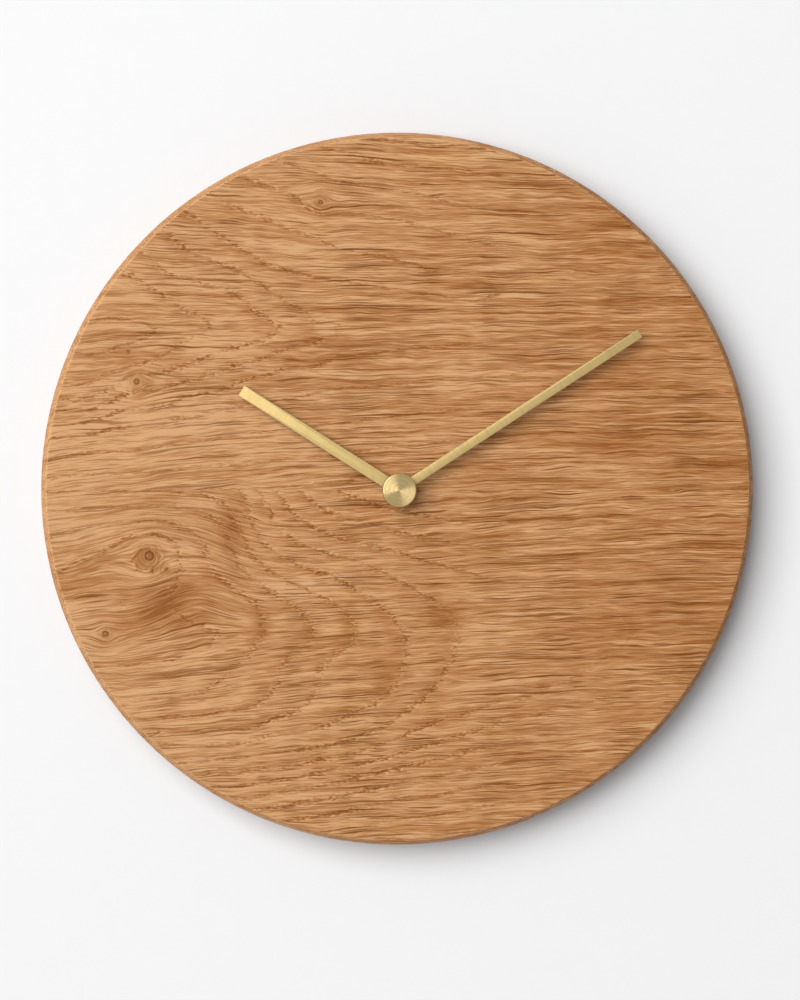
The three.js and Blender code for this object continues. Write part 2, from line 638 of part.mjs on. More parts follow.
// Rear half of the case: skin, walls, battery bay, knob well, pivot bosses, pillars, pegs and ribs
const rearShell = solidOf(prism(caseOutline, caseRear, caseSplit - SEAT_GAP / 2))
  .subtract(solidOf(prism(innerOutline, rearInside, caseSplit + OVERLAP)));
const wellOuter = 2 * (wellRadius + WELL_WALL);
const rearFeatures = [
  block(-caseInner - OVERLAP, caseInner + OVERLAP, bayTop, partitionTop,
    rearInside - OVERLAP, caseSplit - SEAT_GAP / 2),
  block(-caseInner + SEAT_GAP, caseInner - SEAT_GAP, bayTop, partitionTop,
    rearInside, frontInside - SEAT_GAP),
  rod(settingAxle, wellOuter, rearInside - OVERLAP, wellFloor + WELL_WALL, 24),
  rod(stepAxle, BOSS_DIAMETER, rearInside - OVERLAP, stepWheelRear - LAYER_GAP, 12),
  rod(rotorAxle, BOSS_DIAMETER, rearInside - OVERLAP, rotorPinionRear - SEAT_GAP, 12),
  rod(thirdAxle, BOSS_DIAMETER, rearInside - OVERLAP, thirdWheelRear - LAYER_GAP, 12),
  rod(centreAxle, BOSS_DIAMETER, rearInside - OVERLAP, secondWheelRear - LAYER_GAP, 12),
  ...PILLARS.map(([x, y]) => rod(
    new THREE.Vector2(x, y), PILLAR_DIAMETER, rearInside - OVERLAP, plateRear - SEAT_GAP, 12,
  )),
  ...BOARD_PEG_LEVELS.map((y) => rod(
    new THREE.Vector2(boardMiddle, y), PILLAR_DIAMETER, rearInside - OVERLAP, boardRear - SEAT_GAP, 12,
  )),
  ...contactRibs(rearInside, caseSplit - SEAT_GAP / 2),
];
const tailRear = boardFront + SEAT_GAP;
const tailFront = tailRear + CONTACT_TAIL_HEIGHT;
const notches = [-1, 1].map((side) => block(
  Math.min(side * (contactInner - CONTACT_NOTCH_MARGIN), side * (caseInner - FIXED_CLEARANCE)),
  Math.max(side * (contactInner - CONTACT_NOTCH_MARGIN), side * (caseInner - FIXED_CLEARANCE)),
  bayTop - OVERLAP,
  partitionTop + OVERLAP,
  tailRear - CONTACT_NOTCH_MARGIN,
  tailFront + CONTACT_NOTCH_MARGIN,
));
add('rear_housing', cut(joined(rearFeatures).add(rearShell), [
  block(-caseInner, caseInner, bayBottom, bayTop, caseRear - OVERLAP, rearInside + OVERLAP),
  rod(settingAxle, 2 * wellRadius, caseRear - OVERLAP, wellFloor, 24),
  rod(settingAxle, SETTING_SHAFT_DIAMETER + 2 * TURN_CLEARANCE, caseRear, wellFloor + 2 * WELL_WALL, 20),
  ...[stepAxle, rotorAxle, thirdAxle, centreAxle].map((axle) => rod(
    axle, 2 * pinHole, rearInside - OVERLAP, plateRear, 16,
  )),
  ...notches,
]), BLACK_PLASTIC);

// Train plate between the going train and the motion work
const plate = solidOf(prism(
  roundedRectangle(PLATE_LEFT, PLATE_RIGHT, PLATE_BOTTOM, PLATE_TOP, PLATE_CORNER),
  plateRear,
  plateFront,
));
const throughPlate = (axle, diameter) => rod(
  axle, diameter + 2 * TURN_CLEARANCE, plateRear - OVERLAP, plateFront + OVERLAP, 16,
);
add('train_plate', cut(plate, [
  throughPlate(centreAxle, MINUTE_SHAFT_DIAMETER + TURN_CLEARANCE),
  throughPlate(settingAxle, SETTING_SHAFT_DIAMETER + TURN_CLEARANCE),
  ...[stepAxle, rotorAxle, thirdAxle].map((axle) => throughPlate(axle, ARBOR_DIAMETER)),
]), WHITE_PLASTIC);

// Motion work: cannon on the minute shaft, minute wheel on its stud, hour wheel with pipe
const motionDirection = radians(MOTION_ANGLE);
const settingDirection = radians(SETTING_ANGLE);
const minuteWheelPhase = matePhase(motionDirection, CANNON_TEETH, MINUTE_WHEEL_TEETH, motionDirection);
const hourWheelPhase = motionDirection;
const minutePinionPhase = matePhase(
  hourWheelPhase, HOUR_WHEEL_TEETH, MINUTE_PINION_TEETH, motionDirection,
);
const shaftRadius = MINUTE_SHAFT_DIAMETER / 2;
const cannon = pinionShape(CANNON_TEETH, motionModule, motionDirection);
add('minute_shaft', geometryOf(joined([
  turned([
    [MINUTE_SHAFT_BORE / 2, flangeRear],
    [MINUTE_FLANGE_DIAMETER / 2, flangeRear],
    [MINUTE_FLANGE_DIAMETER / 2, flangeFront],
    [shaftRadius, flangeFront],
    [shaftRadius, minuteShoulder],
    [MINUTE_STUB_DIAMETER / 2, minuteShoulder],
    [MINUTE_STUB_DIAMETER / 2, stubEnd],
    [MINUTE_SHAFT_BORE / 2, stubEnd],
    [MINUTE_SHAFT_BORE / 2, flangeRear],
  ], 16),
  gear(cannon, cannonRear, cannonFront, MINUTE_SHAFT_DIAMETER - OVERLAP),
])), PLATED);

const minuteWheelRear = cannonRear + wheelInset;
const minuteWheel = joined([
  gear(
    wheelShape(MINUTE_WHEEL_TEETH, motionModule, minuteWheelPhase),
    minuteWheelRear,
    minuteWheelRear + WHEEL_THICKNESS,
  ),
  gear(
    pinionShape(MINUTE_PINION_TEETH, hourModule, minutePinionPhase),
    minuteWheelRear + WHEEL_THICKNESS / 2,
    frontInside - SEAT_GAP,
  ),
]);
add('minute_wheel', cut(minuteWheel, [
  rod(centreAxle, STUD_DIAMETER + 2 * TURN_CLEARANCE, plateFront, frontInside + OVERLAP, 16),
]), WHITE_PLASTIC, motionAxle);

add('hour_wheel', geometryOf(joined([
  gear(
    wheelShape(HOUR_WHEEL_TEETH, hourModule, hourWheelPhase),
    hourWheelRear,
    hourWheelFront,
    HOUR_PIPE_DIAMETER - OVERLAP,
  ),
  ring(HOUR_PIPE_DIAMETER, HOUR_PIPE_BORE, hourWheelRear, hourPipeEnd, 24),
])), PLATED);

// Going train
const thirdDirection = radians(THIRD_ANGLE);
const stepDirection = radians(STEP_ANGLE);
const rotorDirection = radians(ROTOR_ANGLE);
add('centre_wheel', gear(
  wheelShape(CENTRE_WHEEL_TEETH, centreModule, thirdDirection),
  centreWheelRear,
  centreWheelRear + WHEEL_THICKNESS,
  MINUTE_SHAFT_DIAMETER + 2 * FIXED_CLEARANCE,
), WHITE_PLASTIC);
const springInner = shaftRadius + FIXED_CLEARANCE;
add('clutch_spring', turned([
  [springInner, springFront - SPRING_HEIGHT],
  [springInner + SPRING_SHEET, springFront - SPRING_HEIGHT],
  [SPRING_DIAMETER / 2, springFront - SPRING_SHEET],
  [SPRING_DIAMETER / 2, springFront],
  [SPRING_DIAMETER / 2 - SPRING_SHEET, springFront],
  [springInner, springFront - SPRING_HEIGHT + SPRING_SHEET],
  [springInner, springFront - SPRING_HEIGHT],
], 16), STEEL);

const thirdPinionPhase = matePhase(
  thirdDirection, CENTRE_WHEEL_TEETH, THIRD_PINION_TEETH, thirdDirection,
);
const thirdWheelPhase = matePhase(
  thirdDirection, SECOND_PINION_TEETH, THIRD_WHEEL_TEETH, thirdDirection,
);
add('third_wheel', geometryOf(joined([
  gear(
    wheelShape(THIRD_WHEEL_TEETH, thirdModule, thirdWheelPhase),
    thirdWheelRear,
    thirdWheelRear + WHEEL_THICKNESS,
  ),
  gear(
    pinionShape(THIRD_PINION_TEETH, centreModule, thirdPinionPhase),
    thirdWheelRear + WHEEL_THICKNESS / 2,
    thirdPinionFront,
  ),
  rod(centreAxle, ARBOR_DIAMETER, rearInside, plateFront - SEAT_GAP, 10),
])), WHITE_PLASTIC, thirdAxle);

add('second_wheel', geometryOf(joined([
  gear(
    wheelShape(SECOND_WHEEL_TEETH, secondModule, stepDirection),
    secondWheelRear,
    secondWheelRear + WHEEL_THICKNESS,
  ),
  gear(
    pinionShape(SECOND_PINION_TEETH, thirdModule, thirdDirection),
    secondWheelRear + WHEEL_THICKNESS / 2,
    secondPinionFront,
  ),
  rod(centreAxle, ARBOR_DIAMETER, rearInside, stubEnd - SEAT_GAP, 10),
])), WHITE_PLASTIC);

const stepPinionPhase = matePhase(
  stepDirection, SECOND_WHEEL_TEETH, STEP_PINION_TEETH, stepDirection,
);
add('step_wheel', geometryOf(joined([
  gear(
    wheelShape(STEP_WHEEL_TEETH, stepModule, rotorDirection),
    stepWheelRear,
    stepWheelRear + WHEEL_THICKNESS,
  ),
  gear(
    pinionShape(STEP_PINION_TEETH, secondModule, stepPinionPhase),
    stepWheelRear + WHEEL_THICKNESS / 2,
    stepPinionRear + PINION_LENGTH,
  ),
  rod(centreAxle, ARBOR_DIAMETER, rearInside, plateFront - SEAT_GAP, 10),
])), WHITE_PLASTIC, stepAxle);

const rotorPhase = matePhase(rotorDirection, STEP_WHEEL_TEETH, ROTOR_PINION_TEETH, rotorDirection);
const hubDiameter = MAGNET_BORE - 2 * FIXED_CLEARANCE;
add('rotor_pinion', geometryOf(joined([
  gear(
    pinionShape(ROTOR_PINION_TEETH, stepModule, rotorPhase),
    rotorPinionRear,
    rotorPinionRear + PINION_LENGTH,
  ),
  rod(centreAxle, hubDiameter, magnetRear - SEAT_GAP / 2, magnetRear + MAGNET_LENGTH, 16),
  rod(centreAxle, ARBOR_DIAMETER, rearInside, plateFront - SEAT_GAP, 10),
])), WHITE_PLASTIC, rotorAxle);
add('rotor_magnet', ring(
  MAGNET_DIAMETER, MAGNET_BORE, magnetRear, magnetRear + MAGNET_LENGTH, 20,
), MAGNET, rotorAxle);

// Stepping motor
const legLeft = coilAxisX - COIL_CORE_WIDTH / 2;
const statorBody = joined([
  block(statorLeft, STATOR_RIGHT, STATOR_BOTTOM, STATOR_TOP, statorRear, statorRear + STATOR_SHEET),
  block(legLeft, statorLeft + OVERLAP, STATOR_BOTTOM, STATOR_BOTTOM + STATOR_LEG,
    statorRear, statorRear + STATOR_SHEET),
  block(legLeft, statorLeft + OVERLAP, STATOR_TOP - STATOR_LEG, STATOR_TOP,
    statorRear, statorRear + STATOR_SHEET),
  rod(rotorAxle, statorRingDiameter, statorRear, statorRear + STATOR_SHEET, 24),
]);
add('stator', cut(statorBody, [
  rod(rotorAxle, MAGNET_DIAMETER + 2 * AIR_GAP, statorRear - OVERLAP, statorRear + 2 * STATOR_SHEET, 24),
]), IRON);
add('coil_core', block(
  legLeft, legLeft + COIL_CORE_WIDTH, STATOR_BOTTOM, STATOR_TOP, coreRear, coreRear + STATOR_SHEET,
), IRON);

const coilBottom = STATOR_BOTTOM + STATOR_LEG + BOBBIN_END_GAP;
const coilTop = STATOR_TOP - STATOR_LEG - BOBBIN_END_GAP;
const alongCoil = (geometry) => geometry.rotateX(-Math.PI / 2).translate(coilAxisX, 0, coilLevel);
const coilRod = (diameter, start, end) => alongCoil(rod(centreAxle, diameter, start, end, 20));
const bobbin = joined([
  coilRod(BOBBIN_DIAMETER, coilBottom, coilTop),
  coilRod(COIL_FLANGE_DIAMETER, coilBottom, coilBottom + COIL_FLANGE_THICKNESS),
  coilRod(COIL_FLANGE_DIAMETER, coilTop - COIL_FLANGE_THICKNESS, coilTop),
]);
add('coil_bobbin', cut(bobbin, [
  block(
    legLeft - FIXED_CLEARANCE, legLeft + COIL_CORE_WIDTH + FIXED_CLEARANCE, STATOR_BOTTOM, STATOR_TOP,
    coreRear - FIXED_CLEARANCE, coreRear + STATOR_SHEET + FIXED_CLEARANCE,
  ),
]), WHITE_PLASTIC);
add('coil_winding', alongCoil(ring(
  COIL_DIAMETER,
  BOBBIN_DIAMETER + 2 * FIXED_CLEARANCE,
  coilBottom + COIL_FLANGE_THICKNESS + FIXED_CLEARANCE,
  coilTop - COIL_FLANGE_THICKNESS - FIXED_CLEARANCE,
  20,
)), COPPER);

// Circuit board
add('circuit_board', block(
  boardLeft, boardRight, BOARD_BOTTOM, BOARD_TOP, boardRear, boardFront,
), LAMINATE);
const chipRear = boardFront + FIXED_CLEARANCE;
const chipRadius = CHIP_DIAMETER / 2;
const dome = [0, Math.PI / 6, Math.PI / 3].map((angle) => [
  chipRadius * Math.cos(angle),
  chipRear + CHIP_HEIGHT * Math.sin(angle),
]);
add('chip', turned(
  [[0, chipRear], ...dome, [0, chipRear + CHIP_HEIGHT]], 16,
), BLACK_PLASTIC, new THREE.Vector2(boardMiddle, CHIP_LEVEL));
const crystal = new THREE.CylinderGeometry(CRYSTAL_DIAMETER / 2, CRYSTAL_DIAMETER / 2, CRYSTAL_LENGTH, 16)
  .translate(0, CRYSTAL_LENGTH / 2, boardFront + FIXED_CLEARANCE + CRYSTAL_DIAMETER / 2);
add('quartz_crystal', crystal, STEEL, new THREE.Vector2(boardMiddle, CRYSTAL_LEVEL));

// Battery and its two contacts, each with a tail to a foot over the circuit board
const cell = turned([
  [0, 0],
  [CELL_DIAMETER / 2, 0],
  [CELL_DIAMETER / 2, CELL_LENGTH],
  [CELL_NUB_DIAMETER / 2, CELL_LENGTH],
  [CELL_NUB_DIAMETER / 2, CELL_LENGTH + CELL_NUB_LENGTH],
  [0, CELL_LENGTH + CELL_NUB_LENGTH],
], 32).rotateY(Math.PI / 2).translate(cellStart, cellY, cellZ);
add('battery_cell', cell, CELL_SLEEVE);
const contactRear = cellZ - CONTACT_HEIGHT / 2;
const contactFront = cellZ + CONTACT_HEIGHT / 2;
const tailTop = BOARD_BOTTOM + CONTACT_FOOT;
add('positive_contact', geometryOf(joined([
  block(contactInner, contactOuter, cellY - CONTACT_HEIGHT / 2, cellY + CONTACT_HEIGHT / 2,
    contactRear, contactFront),
  block(contactInner, contactOuter, cellY, tailTop, tailRear, tailFront),
  block(boardRight - CONTACT_FOOT, contactOuter, BOARD_BOTTOM, tailTop,
    tailRear, tailRear + CONTACT_SHEET),
])), STEEL);
const stripBottom = partitionTop + FIXED_CLEARANCE;
const stripTop = stripBottom + CONTACT_SHEET;
add('negative_contact', geometryOf(joined([
  block(-contactOuter, -contactInner, cellY - CONTACT_HEIGHT / 2, cellY + CONTACT_HEIGHT / 2,
    contactRear, contactFront),
  block(-contactOuter, -contactInner, cellY, stripTop, tailRear, tailFront),
  block(-contactOuter, boardLeft + CONTACT_FOOT, stripBottom, stripTop, tailRear, tailFront),
  block(boardLeft, boardLeft + CONTACT_FOOT, stripBottom, tailTop, tailRear, tailRear + CONTACT_SHEET),
])), STEEL);

// Hand-setting knob and the shaft that carries its pinion
const knobRadius = KNOB_DIAMETER / 2;
const knobShape = new THREE.Shape(pointsAround(
  4 * KNOB_FLUTES, (place) => (place % 4 < 2 ? knobRadius : knobRadius - KNOB_FLUTE_DEPTH),
));
const shaftSeat = SETTING_SHAFT_DIAMETER + 2 * FIXED_CLEARANCE;
const socketFloor = knobRear + KNOB_FLOOR;
add('setting_knob', cut(solidOf(prism(knobShape, knobRear, knobFront)), [
  rod(centreAxle, shaftSeat, socketFloor, knobFront + OVERLAP, 20),
]), BLACK_PLASTIC, settingAxle);
const settingPhase = matePhase(
  minuteWheelPhase, MINUTE_WHEEL_TEETH, SETTING_TEETH, settingDirection,
);
add('setting_shaft', geometryOf(joined([
  gear(pinionShape(SETTING_TEETH, motionModule, settingPhase), cannonRear, cannonFront),
  rod(centreAxle, SETTING_SHAFT_DIAMETER, socketFloor + SEAT_GAP, frontInside - END_SHAKE, 20),
])), WHITE_PLASTIC, settingAxle);

const part = new THREE.Group();
part.name = 'oak_wall_clock';
part.add(clock);

export default part;
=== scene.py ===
"""Round oak wall clock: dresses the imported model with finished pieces, materials and a stage."""

import json
import math

import bmesh
import bpy
import numpy as np
from bpy.props import FloatProperty, FloatVectorProperty, PointerProperty
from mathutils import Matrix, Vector

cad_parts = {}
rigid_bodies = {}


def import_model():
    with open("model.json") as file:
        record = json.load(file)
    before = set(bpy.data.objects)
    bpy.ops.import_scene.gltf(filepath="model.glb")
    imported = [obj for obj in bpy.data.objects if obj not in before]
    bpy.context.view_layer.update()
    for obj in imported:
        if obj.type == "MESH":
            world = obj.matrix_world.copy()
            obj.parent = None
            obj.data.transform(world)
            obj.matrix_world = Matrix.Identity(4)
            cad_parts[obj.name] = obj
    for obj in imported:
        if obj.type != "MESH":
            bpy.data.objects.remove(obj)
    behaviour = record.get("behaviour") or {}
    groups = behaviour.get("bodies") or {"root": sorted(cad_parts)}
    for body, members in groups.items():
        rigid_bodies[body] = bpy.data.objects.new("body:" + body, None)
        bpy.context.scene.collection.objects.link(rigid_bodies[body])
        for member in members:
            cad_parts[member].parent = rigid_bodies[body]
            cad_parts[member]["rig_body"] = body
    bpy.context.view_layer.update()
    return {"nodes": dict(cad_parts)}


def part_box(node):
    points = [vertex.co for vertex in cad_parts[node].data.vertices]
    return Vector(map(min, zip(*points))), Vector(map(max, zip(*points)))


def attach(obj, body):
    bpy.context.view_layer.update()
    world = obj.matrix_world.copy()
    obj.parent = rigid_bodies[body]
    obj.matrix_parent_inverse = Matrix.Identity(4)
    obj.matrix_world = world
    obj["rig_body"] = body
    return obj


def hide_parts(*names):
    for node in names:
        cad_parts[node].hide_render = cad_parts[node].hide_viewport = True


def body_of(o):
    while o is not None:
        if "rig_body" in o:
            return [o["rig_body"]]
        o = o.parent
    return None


bl_info = {
    "name": "Oak wall clock",
    "version": (1, 0, 0),
    "blender": (4, 5, 0),
    "location": "3D View > Sidebar > Wall clock",
    "description": "Builds the boards, hands, movement and stage of a round oak wall clock",
    "category": "Object",
}

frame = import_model()
MM = 1000
AXIS_RISE = MM / 2 * (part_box("oak_board_upper")[0].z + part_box("oak_board_lower")[1].z)


def paint(red, green, blue):
    """Linear colour of an sRGB colour given in 0 to 255."""
    share = np.array((red, green, blue)) / 255
    linear = np.where(share < 0.04045, share / 12.92, ((share + 0.055) / 1.055) ** 2.4)
    return tuple(linear.tolist())


def node_box(node):
    """Low and high corner of a CAD node in clock millimetres: x right, y up from the hand axis, z off the wall."""
    low, high = (np.array(corner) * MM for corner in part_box(node))
    return (
        np.array((low[0], low[2] - AXIS_RISE, -high[1])),
        np.array((high[0], high[2] - AXIS_RISE, -low[1])),
    )


BOARD_HIGH = node_box("oak_board_upper")[1]

# Pieces of the movement in millimetres: bores and radii from the axle, heights along it
BUSH_BORE, BUSH_RADIUS, BUSH_SEAT, COLLAR_HEIGHT = 2.75, 3.9, 15.63, 0.5
THREAD_PITCH, THREAD_DEPTH = 0.75, 0.28
NUT_BORE, NUT_BEVEL, NUT_SINK = 3.95, 0.35, 0.25
KNOB_BORE, KNOB_FLOOR, KNOB_DISH = 1.03, 1.1, 0.35
FLUTES, FLUTE_DEPTH = 12, 0.32
COIL_BORE, WIRE_PITCH, WIRE_GROOVE = 1.93, 0.24, 0.09
BUTTON_RADIUS, BUTTON_HEIGHT, FILM_LAP = 2.75, 1.0, 6.1
# Points round each turned piece
CAP_ROUND, BUSH_ROUND, NUT_ROUND, KNOB_ROUND, COIL_ROUND, CELL_ROUND, WALL_ROUND = 144, 72, 96, 144, 48, 96, 128

# Closeness of points that are merged, in metres, and the angle past which a board's edges stay sharp
MERGE_DISTANCE, BOARD_CREASE = 2e-7, 30
# Points of a board along the face, round the half circle, and along the back
FACE_POINTS, ARC_POINTS, BACK_POINTS = 112, 401, 38
# Fewest faces that a board has after the keyhole is cut
FEWEST_FACES = 1000

# Growth rings of the two boards: ring number, then the points of that ring line on the face as x, y, x, y and so on,
# in millimetres from the hand axis, x to the right and y up
UPPER_RINGS = (
    (0, (-129, 71, -115, 71, -106, 69, -102, 67, -106, 64, -114, 61, -126, 57)),
    (1, (-121, 93, -109, 88, -100, 82, -90, 76, -82, 72, -79, 69, -83, 65, -90, 62, -97, 57, -109, 52, -130, 45)),
    (2, (-109, 101, -99, 92, -88, 88, -78, 85, -67, 81, -58, 73, -50, 67, -56, 63, -67, 60, -78, 57, -88, 53, -105,
        47, -136, 37)),
    (3, (-96, 107, -84, 98, -70, 93, -58, 86, -46, 78, -35, 70, -26, 65, -36, 61, -50, 58, -65, 53, -82, 47, -105, 40,
        -139, 33)),
    (4, (-84, 113, -69, 103, -58, 96, -46, 92, -33, 89, -20, 87, 1, 84, 18, 82, 43, 83, 68, 84, 93, 85, 123, 87)),
    (4, (127, 66, 102, 65, 74, 64, 51, 63, 39, 62, 18, 60, -4, 58, -25, 56, -46, 51, -67, 45, -88, 39, -113, 34, -141,
        28)),
    (5, (-73, 121, -59, 115, -48, 110, -37, 106, -23, 101, -14, 99, 1, 96, 16, 92, 34, 90, 68, 90, 102, 92, 134, 94)),
    (5, (138, 54, 102, 53, 60, 51, 18, 47, -16, 43, -46, 38, -71, 34, -96, 28, -122, 25, -143, 22)),
    (6, (-60, 129, -42, 123, -28, 118, -14, 115, 1, 113, 13, 110, 24, 107, 34, 104, 46, 101, 58, 99, 72, 99, 89, 101,
        110, 103, 131, 106)),
    (6, (141, 42, 102, 39, 60, 36, 18, 33, -16, 29, -50, 25, -84, 20, -113, 16, -145, 13)),
    (7, (-45, 136, -27, 130, -14, 127, 3, 125, 14, 123, 22, 120, 34, 118, 48, 117, 58, 116, 74, 117, 93, 118, 115,
        120)),
    (7, (143, 28, 102, 26, 60, 23, 18, 20, -25, 15, -67, 11, -105, 8, -146, 5)),
    (8, (-29, 143, -16, 140, -6, 137, 5, 136, 18, 135, 28, 134, 43, 132, 58, 131, 77, 129, 98, 128)),
    (8, (145, 14, 102, 11, 60, 9, 18, 6, -29, 3, -75, 0)),
    (9, (-6, 147, 9, 145, 30, 143, 55, 139)),
    (9, (146, 1, 102, -1, 51, -3, 1, -5)),
)
LOWER_RINGS = (
    (0, (-97, -47, -88, -55, -81, -59, -77, -62, -81, -66, -88, -69, -99, -72, -111, -73, -126, -74)),
    (1, (-142, -18, -122, -15, -105, -14, -90, -17, -82, -25, -76, -36, -67, -42, -60, -48, -57, -55, -59, -64, -66,
        -72, -73, -78, -80, -84, -92, -87, -109, -88, -122, -88)),
    (2, (-145, -9, -122, -7, -96, -7, -82, -9, -74, -16, -70, -25, -65, -34, -57, -40, -48, -46, -40, -52, -36, -60,
        -39, -66, -47, -72, -50, -78, -53, -85, -60, -90, -73, -93, -92, -95, -115, -95)),
    (3, (-143, -1, -113, -1, -88, -2, -75, -5, -69, -12, -65, -21, -59, -30, -49, -37, -35, -44, -24, -50, -18, -59,
        -21, -66, -30, -72, -34, -79, -36, -87, -46, -94, -61, -100, -82, -102, -105, -103)),
    (4, (-66, -1, -63, -9, -58, -21, -47, -29, -32, -35, -18, -42, -5, -51, 3, -63, 2, -74, -2, -83, -10, -90, -23,
        -96, -37, -101, -56, -104, -84, -107, -101, -107)),
    (5, (-59, 0, -55, -7, -48, -18, -36, -25, -20, -29, -4, -36, 11, -44, 23, -53, 25, -62, 21, -74, 13, -85, 4, -93,
        -9, -101, -26, -107, -46, -110, -67, -112, -93, -115)),
    (6, (-52, 0, -47, -7, -37, -15, -23, -21, -1, -26, 20, -32, 41, -38, 62, -43, 83, -49, 98, -57, 97, -64, 84, -73,
        68, -82, 51, -88, 32, -93, 13, -99, -4, -106, -23, -112, -44, -116, -67, -119, -85, -120)),
    (7, (-42, 0, -35, -6, -22, -12, -2, -17, 19, -22, 45, -26, 70, -27, 98, -27, 127, -26, 144, -25)),
    (7, (127, -73, 106, -82, 85, -88, 64, -93, 43, -98, 22, -105, 1, -111, -25, -117, -50, -122, -77, -125)),
    (8, (-27, 0, -15, -4, 3, -9, 24, -13, 53, -14, 85, -14, 112, -13, 146, -11)),
    (8, (112, -96, 85, -101, 60, -104, 34, -109, 9, -115, -16, -121, -42, -126, -65, -130)),
    (9, (-1, 0, 18, -3, 45, -4, 85, -4, 146, -1)),
    (9, (102, -107, 68, -112, 34, -117, 1, -123, -29, -130, -52, -134)),
    (10, (89, -118, 51, -123, 13, -129, -20, -135, -39, -138)),
    (11, (74, -129, 39, -133, 9, -138, -16, -142)),
    (12, (51, -141, 22, -145, 1, -147)),
)
# Knots: place on the face, reach of the disturbed rings, rings added at the heart, radius of the dark eye
UPPER_KNOTS = ((-109.7, 45.4, 6.8, 0.6, 1.0), (-32.7, 120.5, 5.9, 0.6, 0.8), (-113.3, 58.0, 1.0, 0.0, 0.4))
LOWER_KNOTS = (
    (-104.6, -27.6, 12.7, -1.3, 1.6), (-97.4, -33.2, 0.8, 0.0, 0.55), (-103.2, -34.2, 0.5, 0.0, 0.35),
    (-99.6, -34.6, 0.5, 0.0, 0.3), (-123.0, -60.3, 6.8, 0.1, 1.0),
)
# Stains and pale patches: place on the face, reach along and across, tone
UPPER_STAINS = (
    (-113, 58, 20, 12, -0.2), (-10, 60, 60, 30, -0.1), (-70, 62, 16, 8, 0.2), (-84, 24, 45, 13, 0.2),
    (85, 115, 30, 8, -0.15), (90, 20, 50, 9, -0.1),
)
LOWER_STAINS = (
    (-70, -15, 6, 11, -0.35), (-89, -41, 5, 3.5, -0.4), (-96, -47, 6, 3.5, -0.36), (-104, -53, 7, 3.5, -0.32),
    (-114, -58, 7, 3.5, -0.28), (-132, -38, 16, 5, -0.2), (-95, -50, 14, 10, -0.12), (20, -53, 7, 6, -0.3),
    (-6, -76, 8, 7, -0.3), (-57, -57, 4, 7, -0.3), (-37, -59, 4, 7, -0.25), (-20, -55, 4, 6, -0.2),
    (-42, -42, 14, 4, 0.3), (106, -47, 40, 26, -0.12), (-92, -29, 6, 7, 0.2), (-98, -42, 40, 34, -0.16),
)
# Swirls of the lower board's grain: place on the face, reach along and across, climb in millimetres
LOWER_SWIRLS = (
    (-65, -78, 40, 28, 2.5), (-135, -25, 25, 22, 2.6), (45, -18, 45, 26, 0.9), (-103, -48, 13, 14, 4.5),
    (-73, -48, 13, 14, -4.5), (-70, -22, 15, 18, -7),
)
# Spline through the ring lines: its unit in millimetres, how far it may miss them, and places worked at a time
SPLINE_UNIT, SPLINE_EASE, BLOCK = 50.0, 0.003, 15000
# Knots: how much wider than tall their rings are, and the share of the reach that parts the grain
KNOT_WIDTH, KNOT_POST = 1.25, 0.7
# Upper board's grain: the height it draws together about, by what share, from which x on and over what length
FAN_HEIGHT, FAN_SHARE, FAN_START, FAN_LENGTH = 75, 0.25, -150, 90
# Lower board's grain: its climb for each millimetre, and what the climb loses past which x
CLIMB, CLIMB_LOSS, CLIMB_END = 0.04, 0.0002, 60
# End grain: the sideways part of the normal from which it shows, and over which it comes in
END_START, END_SPAN = 0.25, 0.35
# Edge value of the back, which keeps the bevel's and the side's looks off it
OFF_EDGE = -20
# Light that the oak throws on its surroundings: a grey, and its share over the oak's own colour
BOUNCE_GREY, BOUNCE_SHARE = (0.17, 0.17, 0.17), 0.55

# Stage: what the camera looks at beside and above the hand axis, and the lamps' directions from there, in metres
AIM_SHIFT = (0.0006, -0.0043)
WINDOW_WAY = (-0.55, -1.0, 0.34)
BACK_WAY, BACK_DISTANCE, BACK_SIZE, BACK_POWER = (0.5, 1.0, 0.6), 2.2, 1.6, 30.0
# Share of the fill that comes from the window's side and from the far side
WINDOW_FILL, FAR_FILL = 1.6, 0.4
# The wall's outer radius and how far it lies behind the clock, in millimetres
WALL_REACH, WALL_BEHIND = 4000, 0.06


def metres(name, description, default):
    """Setting for a length in metres."""
    return FloatProperty(name=name, description=description, default=default, unit="LENGTH", precision=5)


def degrees(name, description, default):
    """Setting for an angle whose default is given in degrees."""
    return FloatProperty(name=name, description=description, default=math.radians(default), subtype="ANGLE")


def colour(name, description, default):
    """Setting for a linear colour."""
    return FloatVectorProperty(name=name, description=description, default=default, size=3, subtype="COLOR")


